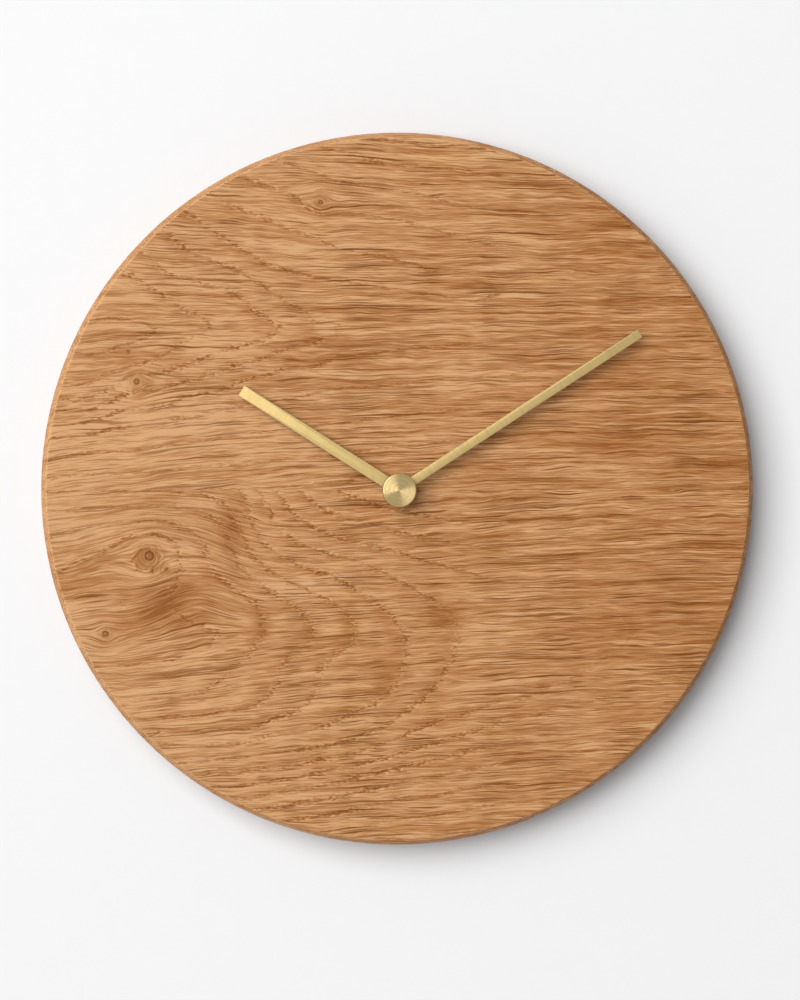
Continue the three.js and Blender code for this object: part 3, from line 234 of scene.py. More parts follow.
class DialSizes(bpy.types.PropertyGroup):
    """Sizes and colours of the two oak boards."""

    radius: metres("Radius", "Radius of the dial", BOARD_HIGH[0] / MM)
    thickness: metres("Thickness", "Thickness of the boards", BOARD_HIGH[2] / MM)
    glue_line: metres("Glue line", "Width of the joint between the boards", 0.00001)
    front_edge: metres("Front edge", "Width of the bevel round the face", 0.0022)
    front_rise: metres("Front rise", "Depth of the bevel round the face", 0.0036)
    back_edge: metres("Back edge", "Width of the bevel round the back", 0.001)
    softness: metres("Softness", "How far the sanding rounds the bevels' corners", 0.0006)
    bush_hole: metres("Bush hole", "Diameter of the hole for the bush", 0.0086)
    web: metres("Web", "Wood left between the pocket and the face", 0.003)
    pocket: metres("Pocket", "Side of the square pocket in the back", 0.060)
    pocket_corner: metres("Pocket corner", "Radius of the pocket's corners", 0.006)
    ring_depth: FloatProperty(
        name="Rings in depth", description="Growth rings passed for each millimetre into the board", default=0.16
    )
    honey: colour("Honey", "Middle colour of the oak", paint(184, 128, 78))
    pale: colour("Pale", "Light fibres of the oak", paint(217, 167, 118))
    tan: colour("Tan", "Dark fibres of the oak", paint(150, 90, 38))
    pore: colour("Pores", "Open pores of the oak", paint(110, 58, 14))


class KeyholeSizes(bpy.types.PropertyGroup):
    """Sizes of the keyhole slot in the back, measured from the hand axis."""

    rise: metres("Rise", "Height of the slot's upper end", -AXIS_RISE / MM)
    run: metres("Run", "Drop from the slot's end to the entry", 0.014)
    entry: metres("Entry", "Diameter of the entry hole", 0.010)
    slot: metres("Slot", "Width of the slot", 0.005)
    lip: metres("Lip", "Thickness of the lip the screw head hooks behind", 0.004)
    depth: metres("Depth", "Depth of the undercut", 0.010)


class HandSizes(bpy.types.PropertyGroup):
    """Sizes and angles of the two hands and the cap."""

    hour_length: metres("Hour length", "Length of the hour hand from the axis", 0.078)
    hour_width: metres("Hour width", "Width of the hour bar", 0.0051)
    hour_hub: metres("Hour hub", "Diameter of the hour hand's hub", 0.011)
    hour_hole: metres("Hour hole", "Hole for the hour pipe", 0.00506)
    hour_angle: degrees("Hour angle", "Angle of the hour hand, clockwise from 12", -57.7)
    minute_length: metres("Minute length", "Length of the minute hand from the axis", 0.1205)
    minute_width: metres("Minute width", "Width of the minute bar", 0.0038)
    minute_hub: metres("Minute hub", "Diameter of the minute hand's hub", 0.0094)
    minute_hole: metres("Minute hole", "Hole for the minute shaft", 0.00256)
    minute_angle: degrees("Minute angle", "Angle of the minute hand, clockwise from 12", 57)
    edge: metres("Edge", "Rounding of the hands' edges", 0.00018)
    cap_cone: metres("Cap cone", "Rise of the cap's cone", 0.00012)
    cap_edge: metres("Cap edge", "Bevel round the cap", 0.00035)
    brass: colour("Brass", "Brass of the hands", paint(166, 144, 96))
    cap_brass: colour("Cap brass", "Brass of the cap", paint(174, 152, 106))


class StageSizes(bpy.types.PropertyGroup):
    """Camera, light and wall."""

    distance: metres("Distance", "Camera to dial", 1.5)
    yaw: degrees("Yaw", "How far the camera stands to the left", 2.0)
    pitch: degrees("Pitch", "How far the camera stands above", 1.5)
    lens: FloatProperty(name="Lens", description="Focal length in millimetres", default=128.5)
    key_power: FloatProperty(name="Key power", description="Power of the window light", default=256.0, unit="POWER")
    key_size: metres("Key size", "Side of the window light", 4.2)
    key_distance: metres("Key distance", "Window light to dial", 5.0)
    fill: FloatProperty(name="Fill", description="Strength of the light from all round", default=0.3)
    wall: colour("Wall", "Colour of the wall", (0.927, 0.928, 0.932))


class ClockSettings(bpy.types.PropertyGroup):
    """All sizes and colours that the panel offers."""

    dial: PointerProperty(name="Dial", description="Oak boards", type=DialSizes)
    keyhole: PointerProperty(name="Keyhole", description="Hanging slot", type=KeyholeSizes)
    hands: PointerProperty(name="Hands", description="Hands and cap", type=HandSizes)
    stage: PointerProperty(name="Stage", description="Camera, light and wall", type=StageSizes)


# Meshes


def to_world(points):
    """Clock millimetres to metres in the frame."""
    return np.stack((points[..., 0], -points[..., 2], points[..., 1] + AXIS_RISE), -1) / MM


def clock_points(mesh):
    """Vertices of a mesh back in clock millimetres, as one array."""
    flat = np.empty(len(mesh.vertices) * 3)
    mesh.vertices.foreach_get("co", flat)
    place = flat.reshape(-1, 3) * MM
    return np.stack((place[:, 0], place[:, 2] - AXIS_RISE, -place[:, 1]), -1)


def grid_faces(rows, columns, wrap_rows, wrap_columns):
    """Quads between neighbouring points of a grid, as indices into its flattened points."""
    r = np.arange(rows if wrap_rows else rows - 1)[:, None]
    c = np.arange(columns if wrap_columns else columns - 1)[None, :]
    r1, c1 = (r + 1) % rows, (c + 1) % columns
    corners = (r * columns + c, r * columns + c1, r1 * columns + c1, r1 * columns + c)
    return np.stack(np.broadcast_arrays(*corners), -1).reshape(-1, 4)


def new_piece(name, points, crease=35, wrap_rows=False, wrap_columns=True, caps=()):
    """One mesh object from a grid of points, whose rows or columns may close into rings. Caps lists closed loops of
    flattened point indices that become flat faces. Touching points are merged, faces are turned outwards, and edges
    sharper than crease degrees stay sharp."""
    faces = grid_faces(*points.shape[:2], wrap_rows, wrap_columns).tolist()
    faces.extend(loop.tolist() for loop in caps)
    mesh = bpy.data.meshes.new(name)
    mesh.from_pydata(to_world(points.reshape(-1, 3)), [], faces)
    work = bmesh.new()
    work.from_mesh(mesh)
    bmesh.ops.remove_doubles(work, verts=work.verts, dist=MERGE_DISTANCE)
    bmesh.ops.recalc_face_normals(work, faces=work.faces)
    work.to_mesh(mesh)
    work.free()
    mesh.shade_smooth()
    mesh.set_sharp_from_angle(angle=math.radians(crease))
    piece = bpy.data.objects.new(name, mesh)
    bpy.context.scene.collection.objects.link(piece)
    return piece


def paint_attribute(mesh, name, values):
    """Stores one number or one vector for each vertex under name."""
    vector = values.ndim == 2
    layer = mesh.attributes.new(name, "FLOAT_VECTOR" if vector else "FLOAT", "POINT")
    layer.data.foreach_set("vector" if vector else "value", np.ascontiguousarray(values, np.float32).ravel())


def bend(before, corner, after, steps):
    """Quadratic curve from before to after that is pulled towards corner, as rows of points."""
    t = np.linspace(0, 1, steps)[:, None]
    before, corner, after = (np.array(p, float)[None] for p in (before, corner, after))
    return (1 - t) ** 2 * before + 2 * t * (1 - t) * corner + t**2 * after


def upright(radius, start, end, steps):
    """Profile rows of one radius from height start to height end."""
    return np.column_stack((np.full(steps, radius), np.linspace(start, end, steps)))


def turns(columns):
    """Angles of evenly spaced columns round an axle, as one row."""
    return np.linspace(0, 2 * np.pi, columns, endpoint=False)[None, :]


def turned(radius, height, columns, centre=(0, 0), axle=2):
    """Points of a surface round an axle at centre: the axle runs along that coordinate, and radius and height are
    given for each row, or for each row and column."""
    angle = turns(columns)
    place = [centre[0] + radius * np.cos(angle), centre[1] + radius * np.sin(angle)]
    place.insert(axle, height)
    return np.stack(np.broadcast_arrays(*place), -1)


def lathe(profile, columns, centre=(0, 0), axle=2):
    """A profile of (radius, height) rows carried round an axle."""
    return turned(profile[:, :1], profile[:, 1:], columns, centre, axle)


def finish_piece(piece, node, material):
    """Lets a new piece stand in for a CAD node: it rides on the same body, the node is hidden, and the piece gets the
    material.
    """
    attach(piece, body_of(frame["nodes"][node])[0])
    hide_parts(node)
    piece.data.materials.clear()
    piece.data.materials.append(material)


def dress(material, *nodes):
    """Gives CAD nodes a material in every slot."""
    for name in nodes:
        node = frame["nodes"][name]
        if not node.material_slots:
            node.data.materials.append(material)
        for slot in node.material_slots:
            slot.material = material


# Materials


def arithmetic(operation):
    """Method of a result that adds the node for an operation with another result or number."""
    return lambda first, second: first.graph.math(operation, first, second)


class Value:
    """One result in a node tree. Sums, differences, products and quotients of results add the nodes for them."""

    def __init__(self, graph, socket):
        self.graph, self.socket = graph, socket

    __add__, __sub__, __mul__, __truediv__ = map(arithmetic, ("ADD", "SUBTRACT", "MULTIPLY", "DIVIDE"))

    def __rsub__(self, other):
        return self.graph.math("SUBTRACT", other, self)

    def step(self, low, high, start=0.0, end=1.0):
        """Smooth step from start to end while the value goes from low to high."""
        ranges = {0: self, 1: low, 2: high, 3: start, 4: end}
        return self.graph.value("MapRange", ranges, interpolation_type="SMOOTHSTEP")

    def spread(self, start, end):
        """Straight line from start to end while the value goes from 0 to 1."""
        return self.graph.value("MapRange", {0: self, 3: start, 4: end})


class Graph:
    """Writes one node tree: each call adds nodes and returns their results."""

    def __init__(self, tree):
        self.tree = tree

    def node(self, kind, values=None, **settings):
        node = self.tree.nodes.new("ShaderNode" + kind)
        node.location = (len(self.tree.nodes) % 12 * 190, -(len(self.tree.nodes) // 12) * 260)
        for name, value in settings.items():
            setattr(node, name, value)
        self.wire(node.inputs, values or {})
        return node

    def wire(self, sockets, values):
        """Links results to sockets, and sets plain values on them."""
        for name, value in values.items():
            if isinstance(value, Value):
                self.tree.links.new(value.socket, sockets[name])
            else:
                sockets[name].default_value = value

    def value(self, kind, values=None, output=0, **settings):
        return Value(self, self.node(kind, values, **settings).outputs[output])

    def named(self, sockets):
        return {socket.name: Value(self, socket) for socket in sockets}

    def math(self, operation, *values):
        """Arithmetic on numbers, or on vectors if one of the values is a vector."""
        vectors = [isinstance(v, tuple) or isinstance(v, Value) and v.socket.type == "VECTOR" for v in values]
        kind = "VectorMath" if any(vectors) else "Math"
        return self.value(kind, dict(enumerate(values)), operation=operation)

    def size(self, value):
        return self.math("ABSOLUTE", value)

    def larger(self, first, second):
        return self.math("MAXIMUM", first, second)

    def length(self, vector):
        return self.value("VectorMath", {0: vector}, "Value", operation="LENGTH")

    def parts(self, vector):
        return list(self.named(self.node("SeparateXYZ", {0: vector}).outputs).values())

    def join(self, x, y, z):
        return self.value("CombineXYZ", {0: x, 1: y, 2: z})

    def noise(self, place, detail=2.0, roughness=0.5):
        return self.value("TexNoise", {"Vector": place, "Scale": 1.0, "Detail": detail, "Roughness": roughness})

    def cells(self, place, **settings):
        return self.named(self.node("TexVoronoi", {"Vector": place, "Scale": 1.0}, **settings).outputs)

    def mix(self, share, first, second):
        return self.value("Mix", {0: share, 6: first, 7: second}, 2, data_type="RGBA")

    def attribute(self, name, kind="Fac"):
        return self.value("Attribute", None, kind, attribute_name=name)

    def millimetres(self):
        """The piece's own coordinates in millimetres."""
        return self.value("TexCoord", None, "Object") * (MM, MM, MM)

    def bump(self, height, distance, strength):
        return self.value("Bump", {"Height": height, "Distance": distance, "Strength": strength})

    def group(self, name, values):
        return self.named(self.node("Group", values, node_tree=shared_group(name)).outputs)


def solid(colour, factor=1.0):
    """A three-part colour times factor as a socket value."""
    return (*(min(1.0, part * factor) for part in colour), 1.0)


def write_oak(g, inlet):
    """Oak: bands, streaks and hairs are noise drawn out along the grain, and pores are long and short spindles. A ring
    line is a dark thread in a strip of dark and pale beads at each whole ring number, and the wood darkens towards it.
    A knot has a dark lid at its radius, a brown heart, a halo and laps round it. End grain shows dots, in rows on the
    side."""
    slope_along = g.parts(inlet["Slope"])[0]
    sway = g.noise(inlet["Grain"] / (26, 7, 7))
    grain = inlet["Grain"] + g.join(0.0, sway.spread(-1.7, 1.7), 0.0)
    along, across, into = g.parts(grain)
    figured = g.size(slope_along).step(0.006, 0.035)
    stain, end, edge = g.parts(inlet["Shade"])
    bevel, side = edge.step(-0.1, 0.3), edge.step(3.9, 4.6)

    def drawn(length, width, detail, shift):
        """Noise drawn out along the grain, to a length and width in millimetres."""
        return g.noise(grain / (length, width, width) + (shift, shift, shift), detail, 0.55)

    def dashes(length, width, share, shift):
        """Spindles along the grain: the middles of drawn-out cells, in that share of the cells."""
        place = g.join(along / length, (across + into) / width, 0.0)
        cells = g.cells(place + (shift, shift, 0), voronoi_dimensions="2D")
        chance = g.parts(cells["Color"])
        reach = chance[1].spread(0.22, 0.46)
        body = cells["Distance"].step(reach, reach * 0.55)
        return body * g.math("LESS_THAN", chance[0], share) * chance[2].spread(0.45, 1.0)

    slope = g.larger(g.length(inlet["Slope"] * (1, 1, 0)), 0.02)
    wobble = drawn(2.6, 0.6, 1.0, 3.3).spread(-1.3, 1.3)
    jag = drawn(7.0, 0.5, 1.0, 13.3).spread(-4.2, 4.2)
    ring = inlet["Ring"] + wobble * slope + jag * slope_along
    since, growth = g.math("FRACT", ring), g.math("FRACT", ring * 2.0)
    past = g.size((ring - g.math("ROUND", ring)) / slope)
    breaks = drawn(16, 6, 1.0, 41.0).step(0.36, 0.6, 0.4, 1.0) * along.step(70.0, 0.0, 0.35, 1.0) * (1.0 - bevel)
    thread = past.step(figured.spread(0.65, 0.9), 0.15) * breaks
    strip = past.step(1.8, 0.5) * breaks * figured
    beads = drawn(1.6, 0.55, 0.0, 7.7).step(0.38, 0.6, -0.2, 0.42)
    late = since.step(0.45, 1.0) * since.step(1.0, 0.92) * breaks * figured.spread(0.2, 1.0)

    bands, streaks = drawn(60, 3.2, 2.0, 0.0).spread(-0.75, 0.75), drawn(30, 1.1, 2.0, 11.5).spread(-0.4, 0.4)
    fine, hair = drawn(22, 0.4, 1.0, 5.5), drawn(7, 0.24, 1.0, 17.7).spread(-0.7, 0.7)
    tone = (bands + streaks) * figured.spread(1.0, 0.55) + hair
    tone += fine.spread(-0.8, 0.8) * figured.spread(1.0, 0.7) - along * 0.0013
    tone += strip * beads - late * 0.26 - thread * figured.spread(0.34, 0.5)
    # The pale line along the face's rounded front edge is a painted highlight where that edge catches the light, with
    # some sanding wear
    tone += stain * fine.spread(0.4, 1.6) + g.size(edge).step(0.55, 0.1, 0.0, 0.28)
    tone += 0.66 - bevel * 0.06 - side * growth.step(0.0, 0.9, 0.15, 0.55)

    lid_x, lid_y, lid_radius = g.parts(inlet["Knot"])
    away = g.length(g.join(lid_x, lid_y, 0.0)) / lid_radius + drawn(1.2, 1.2, 1.0, 47.0).spread(-0.45, 0.45)
    rim, heart = g.size(away - 1.0).step(0.42, 0.12), away.step(1.0, 0.4, 0.0, 0.45)
    halo = away.step(5.0, 0.8, 0.0, 0.4)
    laps = g.math("FRACT", away).step(0.5, 0.95, 0.0, 0.4) * away.step(5.0, 3.0)

    long_pores = g.larger(dashes(70.0, 0.8, 0.25, 23.37), dashes(28.0, 0.7, 0.24, 31.71))
    pores = g.larger(long_pores, dashes(12.0, 0.7, 0.3, 37.93) * figured.spread(0.35, 0.85))
    pores = pores * away.step(2.0, 5.0) * along.step(-140.0, 20.0, 0.72, 1.0) * (1.0 - g.larger(end, bevel))
    rows = growth.step(0.45, 0.1, 0.0, 0.09) * side
    dots = (drawn(4.0, 0.45, 1.0, 53.0) + rows).step(0.54, 0.64, 0.0, 0.6) * end

    colour = g.mix(tone.step(0.0, 0.5), inlet["Tan"], inlet["Honey"])
    colour = g.mix(tone.step(0.5, 1.0), colour, inlet["Pale"])
    for share in (halo, laps):
        colour = g.mix(share, colour, inlet["Tan"])
    for share in (thread * 0.18, pores * 0.9, g.larger(rim * 0.8, heart), dots):
        colour = g.mix(share, colour, inlet["Pore"])
    sunk = g.larger(pores, rim)
    return {"Color": colour, "Roughness": sunk.spread(0.5, 0.72), "Height": fine * 0.35 - sunk}


def write_lines(g, inlet):
    """Brushed or turned metal: noise drawn out along one direction, in two widths, and faint smudges."""
    fine = inlet["Place"] / g.join(inlet["Line Length"], inlet["Line Width"], inlet["Line Width"])
    lines = g.noise(fine) * 0.6 + g.noise(fine * (0.5, 0.28, 0.28)) * 0.4
    return {"Lines": lines.step(0.3, 0.7), "Smudge": g.noise(inlet["Place"] / (9, 7, 7), 3.0)}


def write_skin(g, inlet):
    """Moulded and cast surfaces: fine eroded grain, larger patches that catch handling marks, and dust."""
    place, size = inlet["Place"], inlet["Grain Size"]
    return {
        "Grain": g.noise(place / g.join(size, size, size)),
        "Patches": g.noise(place / (11, 11, 11), 3.0),
        "Dust": g.cells(place / (1.7, 1.7, 1.7))["Distance"].step(0.12, 0.03),
    }


STILL, WHITE = (0, 0, 0), (1, 1, 1, 1)
# Shared shader groups: what writes each, its inputs with their defaults, and its outputs with their kinds
GROUPS = {
    "Oak figure": (
        write_oak,
        {
            "Grain": STILL, "Ring": 0.0, "Slope": STILL, "Knot": (9, 9, 1), "Shade": STILL,
            "Honey": WHITE, "Pale": WHITE, "Tan": WHITE, "Pore": WHITE,
        },
        {"Color": "Color", "Roughness": "Float", "Height": "Float"},
    ),
    "Brush lines": (
        write_lines,
        {"Place": STILL, "Line Length": 20.0, "Line Width": 0.2},
        {"Lines": "Float", "Smudge": "Float"},
    ),
    "Moulded skin": (
        write_skin,
        {"Place": STILL, "Grain Size": 0.25},
        {"Grain": "Float", "Patches": "Float", "Dust": "Float"},
    ),
}


def shared_group(name):
    """The shader group of that name. It is made at its first use: an input's kind follows from its default."""
    if name in bpy.data.node_groups:
        return bpy.data.node_groups[name]
    write, inputs, outputs = GROUPS[name]
    group = bpy.data.node_groups.new(name, "ShaderNodeTree")
    for socket, default in inputs.items():
        kind = "Float" if isinstance(default, float) else {3: "Vector", 4: "Color"}[len(default)]
        made = group.interface.new_socket(name=socket, in_out="INPUT", socket_type="NodeSocket" + kind)
        made.default_value = default
    for socket, kind in outputs.items():
        group.interface.new_socket(name=socket, in_out="OUTPUT", socket_type="NodeSocket" + kind)
    g = Graph(group)
    results = write(g, g.named(group.nodes.new("NodeGroupInput").outputs))
    g.wire(group.nodes.new("NodeGroupOutput").inputs, results)
    return group


def new_material(name):
    """Empty node material: its graph and its Principled shader's sockets."""
    material = bpy.data.materials.new(name)
    material.use_nodes = True
    return material, Graph(material.node_tree), material.node_tree.nodes["Principled BSDF"].inputs


def oak_material(sizes):
    """Oiled oak: the figure group on the boards' own ring and grain attributes. Light thrown on its surroundings is
    greyer than the oak."""
    material, g, shader = new_material("oiled_oak")
    figure = g.group("Oak figure", {
        "Ring": g.attribute("ring"),
        **{name.title(): g.attribute(name, "Vector") for name in ("grain", "slope", "knot", "shade")},
        **{name.title(): solid(getattr(sizes, name)) for name in ("honey", "pale", "tan", "pore")},
    })
    bounced = g.value("LightPath", None, "Is Diffuse Ray") * BOUNCE_SHARE
    g.wire(shader, {
        "Base Color": g.mix(bounced, figure["Color"], solid(BOUNCE_GREY)),
        "Roughness": figure["Roughness"],
        "Normal": g.bump(figure["Height"], 0.00012, 0.6),
        "Specular IOR Level": 0.12,
    })
    return material


def brass_material(name, colour, place, lines, roughness, turned_gloss=False):
    """Brushed brass: lines of a length and width along the first part of the place attribute. Turned brass also bends
    its gloss round the axle."""
    material, g, shader = new_material(name)
    place = g.attribute(place, "Vector")
    marks = g.group("Brush lines", {"Place": place, "Line Length": lines[0], "Line Width": lines[1]})
    tint = g.mix(marks["Lines"], solid(colour, 0.8), solid(colour, 1.14))
    dull = solid(part * share for part, share in zip(colour, (0.86, 0.8, 0.66)))
    g.wire(shader, {
        "Base Color": g.mix(marks["Smudge"].step(0.5, 0.8, 0.0, 0.3), tint, dull),
        "Metallic": 1.0,
        "Roughness": marks["Smudge"].spread(roughness - 0.06, roughness + 0.08),
        "Normal": g.bump(marks["Lines"], 0.000008, 0.3),
    })
    if turned_gloss:
        tangent = g.value("Tangent", direction_type="RADIAL", axis="Y")
        g.wire(shader, {"Anisotropic": 0.95, "Anisotropic Rotation": 0.25, "Tangent": tangent})
    return material


def metal_material(name, colour, roughness, lines=(18.0, 0.12)):
    """Plain machined or rolled metal, with rolling lines in the piece's own coordinates."""
    material, g, shader = new_material(name)
    marks = g.group("Brush lines", {"Place": g.millimetres(), "Line Length": lines[0], "Line Width": lines[1]})
    tint = g.mix(marks["Lines"], solid(colour, 0.82), solid(colour, 1.1))
    g.wire(shader, {
        "Base Color": g.mix(marks["Smudge"].step(0.5, 0.8, 0.0, 0.35), tint, solid(colour, 0.6)),
        "Metallic": 1.0,
        "Roughness": marks["Smudge"].spread(roughness - 0.08, roughness + 0.12),
        "Normal": g.bump(marks["Lines"], 0.00001, 0.4),
    })
    return material


def moulded_material(name, colour, roughness, grain, relief, dust, glow=0.0):
    """Moulded plastic or rubber: eroded grain in the relief, patches in the gloss, and a little dust."""
    material, g, shader = new_material(name)
    skin = g.group("Moulded skin", {"Place": g.millimetres(), "Grain Size": grain})
    tint = g.mix(skin["Patches"], solid(colour, 0.85), solid(colour, 1.12))
    dusty = solid(0.65 * part + 0.2 for part in colour)
    g.wire(shader, {
        "Base Color": g.mix(skin["Dust"] * dust, tint, dusty),
        "Roughness": skin["Patches"].spread(roughness - 0.1, roughness + 0.1),
        "Normal": g.bump(skin["Grain"], relief, 0.7),
        "Subsurface Weight": glow,
        "Subsurface Radius": (0.0015, 0.0013, 0.001),
    })
    return material


def laminate_material():
    """Green circuit board: woven glass under the lacquer, and copper tracks as bands of a cell pattern."""
    material, g, shader = new_material("circuit_laminate")
    place = g.millimetres()
    x, _, z = g.parts(place)
    glass = (g.math("SINE", x * 9.0) * g.math("SINE", z * 9.0)).spread(0.3, 0.7)
    copper = g.cells(place / (2.2, 2.2, 2.2), feature="DISTANCE_TO_EDGE")["Distance"].step(0.2, 0.26)
    base = g.mix(glass, solid(paint(38, 92, 52)), solid(paint(58, 118, 66)))
    g.wire(shader, {
        "Base Color": g.mix(copper, base, solid(paint(74, 132, 62))),
        "Roughness": glass.spread(0.28, 0.4),
        "Normal": g.bump(copper, 0.00003, 0.6),
    })
    return material


def cell_material():
    """Battery: a plain film sleeve with its lap seam, and bare nickel where the bare attribute is one."""
    material, g, shader = new_material("cell_film")
    skin = g.group("Moulded skin", {"Place": g.millimetres(), "Grain Size": 0.6})
    bare = g.attribute("bare")
    seam = g.size(g.parts(g.attribute("round", "Vector"))[1]).step(0.5, 0.35)
    film = g.mix(skin["Patches"], solid(paint(70, 104, 120)), solid(paint(92, 128, 144)))
    film = g.mix(seam * 0.35, film, solid(paint(48, 74, 88)))
    g.wire(shader, {
        "Base Color": g.mix(bare, film, solid((0.66, 0.66, 0.64))),
        "Metallic": bare.spread(0.25, 1.0),
        "Roughness": skin["Patches"].spread(0.24, 0.4),
        "Normal": g.bump(skin["Grain"] * 0.3 - seam, 0.00003, 0.5),
    })
    return material


def wall_material(colour):
    """Matt white wall, faintly rolled. It is clear from behind, so that the clock's back can be looked at."""
    material, g, shader = new_material("wall_paint")
    nodes = material.node_tree.nodes
    skin = g.group("Moulded skin", {"Place": g.millimetres(), "Grain Size": 1.6})
    g.wire(shader, {
        "Base Color": g.mix(skin["Patches"], solid(colour, 0.985), solid(colour)),
        "Roughness": 0.9,
        "Specular IOR Level": 0.1,
        "Normal": g.bump(skin["Grain"], 0.00003, 0.2),
    })
    behind = g.value("NewGeometry", None, "Backfacing")
    front = Value(g, nodes["Principled BSDF"].outputs[0])
    both = g.value("MixShader", {0: behind, 1: front, 2: g.value("BsdfTransparent")})
    g.wire(nodes["Material Output"].inputs, {"Surface": both})
    return material


# Boards


def ring_field(places, guides, knots):
    """Ring number and its two slopes at places on the face.

    A thin-plate spline, the sum of d squared log d over the guide points plus a plane, passes close to the guide
    rings. Each knot adds its own rings as a bell over its distance. Places are worked through in blocks of rows."""
    nodes = np.concatenate([np.reshape(line, (-1, 2)) for _, line in guides]) / SPLINE_UNIT
    rings = np.concatenate([np.full(len(line) // 2, float(ring)) for ring, line in guides])
    gap = np.linalg.norm(nodes[:, None] - nodes[None], axis=2)
    kernel = gap**2 * np.log(np.maximum(gap, 1e-9)) + SPLINE_EASE * np.eye(len(nodes))
    plane = np.column_stack((np.ones(len(nodes)), nodes))
    system = np.block([[kernel, plane], [plane.T, np.zeros((3, 3))]])
    weights = np.linalg.solve(system, np.concatenate((rings, np.zeros(3))))
    spread, tilt = weights[:-3], weights[-3:]
    results = []
    for block in np.array_split(places / SPLINE_UNIT, max(1, len(places) // BLOCK)):
        away = block[:, None] - nodes[None]
        distance2 = np.maximum((away**2).sum(2), 1e-12)
        log = np.log(distance2)
        ring = (distance2 * log / 2) @ spread + tilt[0] + block @ tilt[1:]
        slope = np.einsum("ijk,ij,j->ik", away, log + 1, spread) + tilt[1:]
        results.append(np.column_stack((ring, slope / SPLINE_UNIT)))
    field = np.concatenate(results)
    for x, y, reach, lift, _ in knots:
        away = (places - (x, y)) * (1, KNOT_WIDTH)
        bell = lift * np.exp(-(away**2).sum(1) / reach**2)
        field[:, 0] += bell
        field[:, 1:] += -2 * away * (1, KNOT_WIDTH) / reach**2 * bell[:, None]
    return field


def grain_across(x, y, lower):
    """Distance across the grain. The upper board's lines draw together to the right about one height, by a factor that
    falls off exponentially; the lower board's climb to the right, level off further on, and climb more at each swirl,
    as a hyperbolic tangent along under a bell across."""
    if not lower:
        return FAN_HEIGHT + (y - FAN_HEIGHT) * np.exp(-FAN_SHARE * np.exp(-(x - FAN_START) / FAN_LENGTH))
    climb = CLIMB * x - CLIMB_LOSS * np.maximum(x - CLIMB_END, 0) ** 2
    for middle_x, middle_y, reach_x, reach_y, lift in LOWER_SWIRLS:
        climb = climb + lift * np.tanh((x - middle_x) / reach_x) * np.exp(-(((y - middle_y) / reach_y) ** 2))
    return y - climb


def paint_figure(mesh, sizes, lower, guides, knots, stains):
    """Stores ring number, ring slope, grain place, knot place and shade on a board's vertices.

    The rings of the face sink into the board at a steady rate. Grain lines run along x and part round each knot as
    a stream does round a post: the across distance shrinks by the post's share of the squared distance. The knot
    attribute is the way from the nearest knot's middle, and its radius. The shade attribute holds the stains as bells,
    one where the end grain shows, and the way past the face's edge along the bevel and the side."""
    places = clock_points(mesh)
    x, y = places[:, 0], places[:, 1]
    field = ring_field(places[:, :2], guides, knots)
    depth = places[:, 2] - sizes.thickness * MM
    across = grain_across(x, y, lower)
    for knot_x, knot_y, reach, _, _ in knots:
        post2 = (KNOT_POST * reach) ** 2
        across = across - (y - knot_y) * post2 / ((x - knot_x) ** 2 + (y - knot_y) ** 2 + post2)
    eyes = np.array(knots)[:, [0, 1, 4]]
    ways = places[:, None, :2] - eyes[None, :, :2]
    nearest = np.argmin(np.linalg.norm(ways, axis=2) / eyes[:, 2], axis=1)
    stain = np.zeros(len(places))
    for stain_x, stain_y, reach_x, reach_y, tone in stains:
        stain += tone * np.exp(-(((x - stain_x) / reach_x) ** 2) - ((y - stain_y) / reach_y) ** 2)
    normals = np.empty(len(places) * 3, np.float32)
    mesh.vertex_normals.foreach_get("vector", normals)
    end = np.clip((np.abs(normals.reshape(-1, 3)[:, 0]) - END_START) / END_SPAN, 0, 1)
    out = np.hypot(x, y) - (sizes.radius - sizes.front_edge) * MM
    rise = sizes.front_rise * MM
    edge = np.where(out > 0, np.hypot(out, np.minimum(-depth, rise)) + np.maximum(-depth - rise, 0), out)
    edge[depth < 0.2 - sizes.thickness * MM] = OFF_EDGE
    paint_attribute(mesh, "shade", np.column_stack((stain, end, edge)))
    paint_attribute(mesh, "ring", field[:, 0] + sizes.ring_depth * depth)
    paint_attribute(mesh, "slope", np.column_stack((field[:, 1:], np.full(len(places), sizes.ring_depth))))
    paint_attribute(mesh, "grain", np.column_stack((x, across, depth)))
    paint_attribute(mesh, "knot", np.column_stack((ways[np.arange(len(places)), nearest], eyes[nearest, 2])))


def pocket_radius(theta, half, corner):
    """Distance from the hand axis to the outline of a square with rounded corners, in direction theta."""
    c, s = np.abs(np.cos(theta)), np.abs(np.sin(theta))
    side = half / np.maximum(c, s)
    heart = half - corner
    along = heart * (c + s)
    round_corner = along + np.sqrt(np.maximum(along**2 - 2 * heart**2 + corner**2, 0))
    return np.where(np.minimum(c, s) * side > heart, round_corner, side)


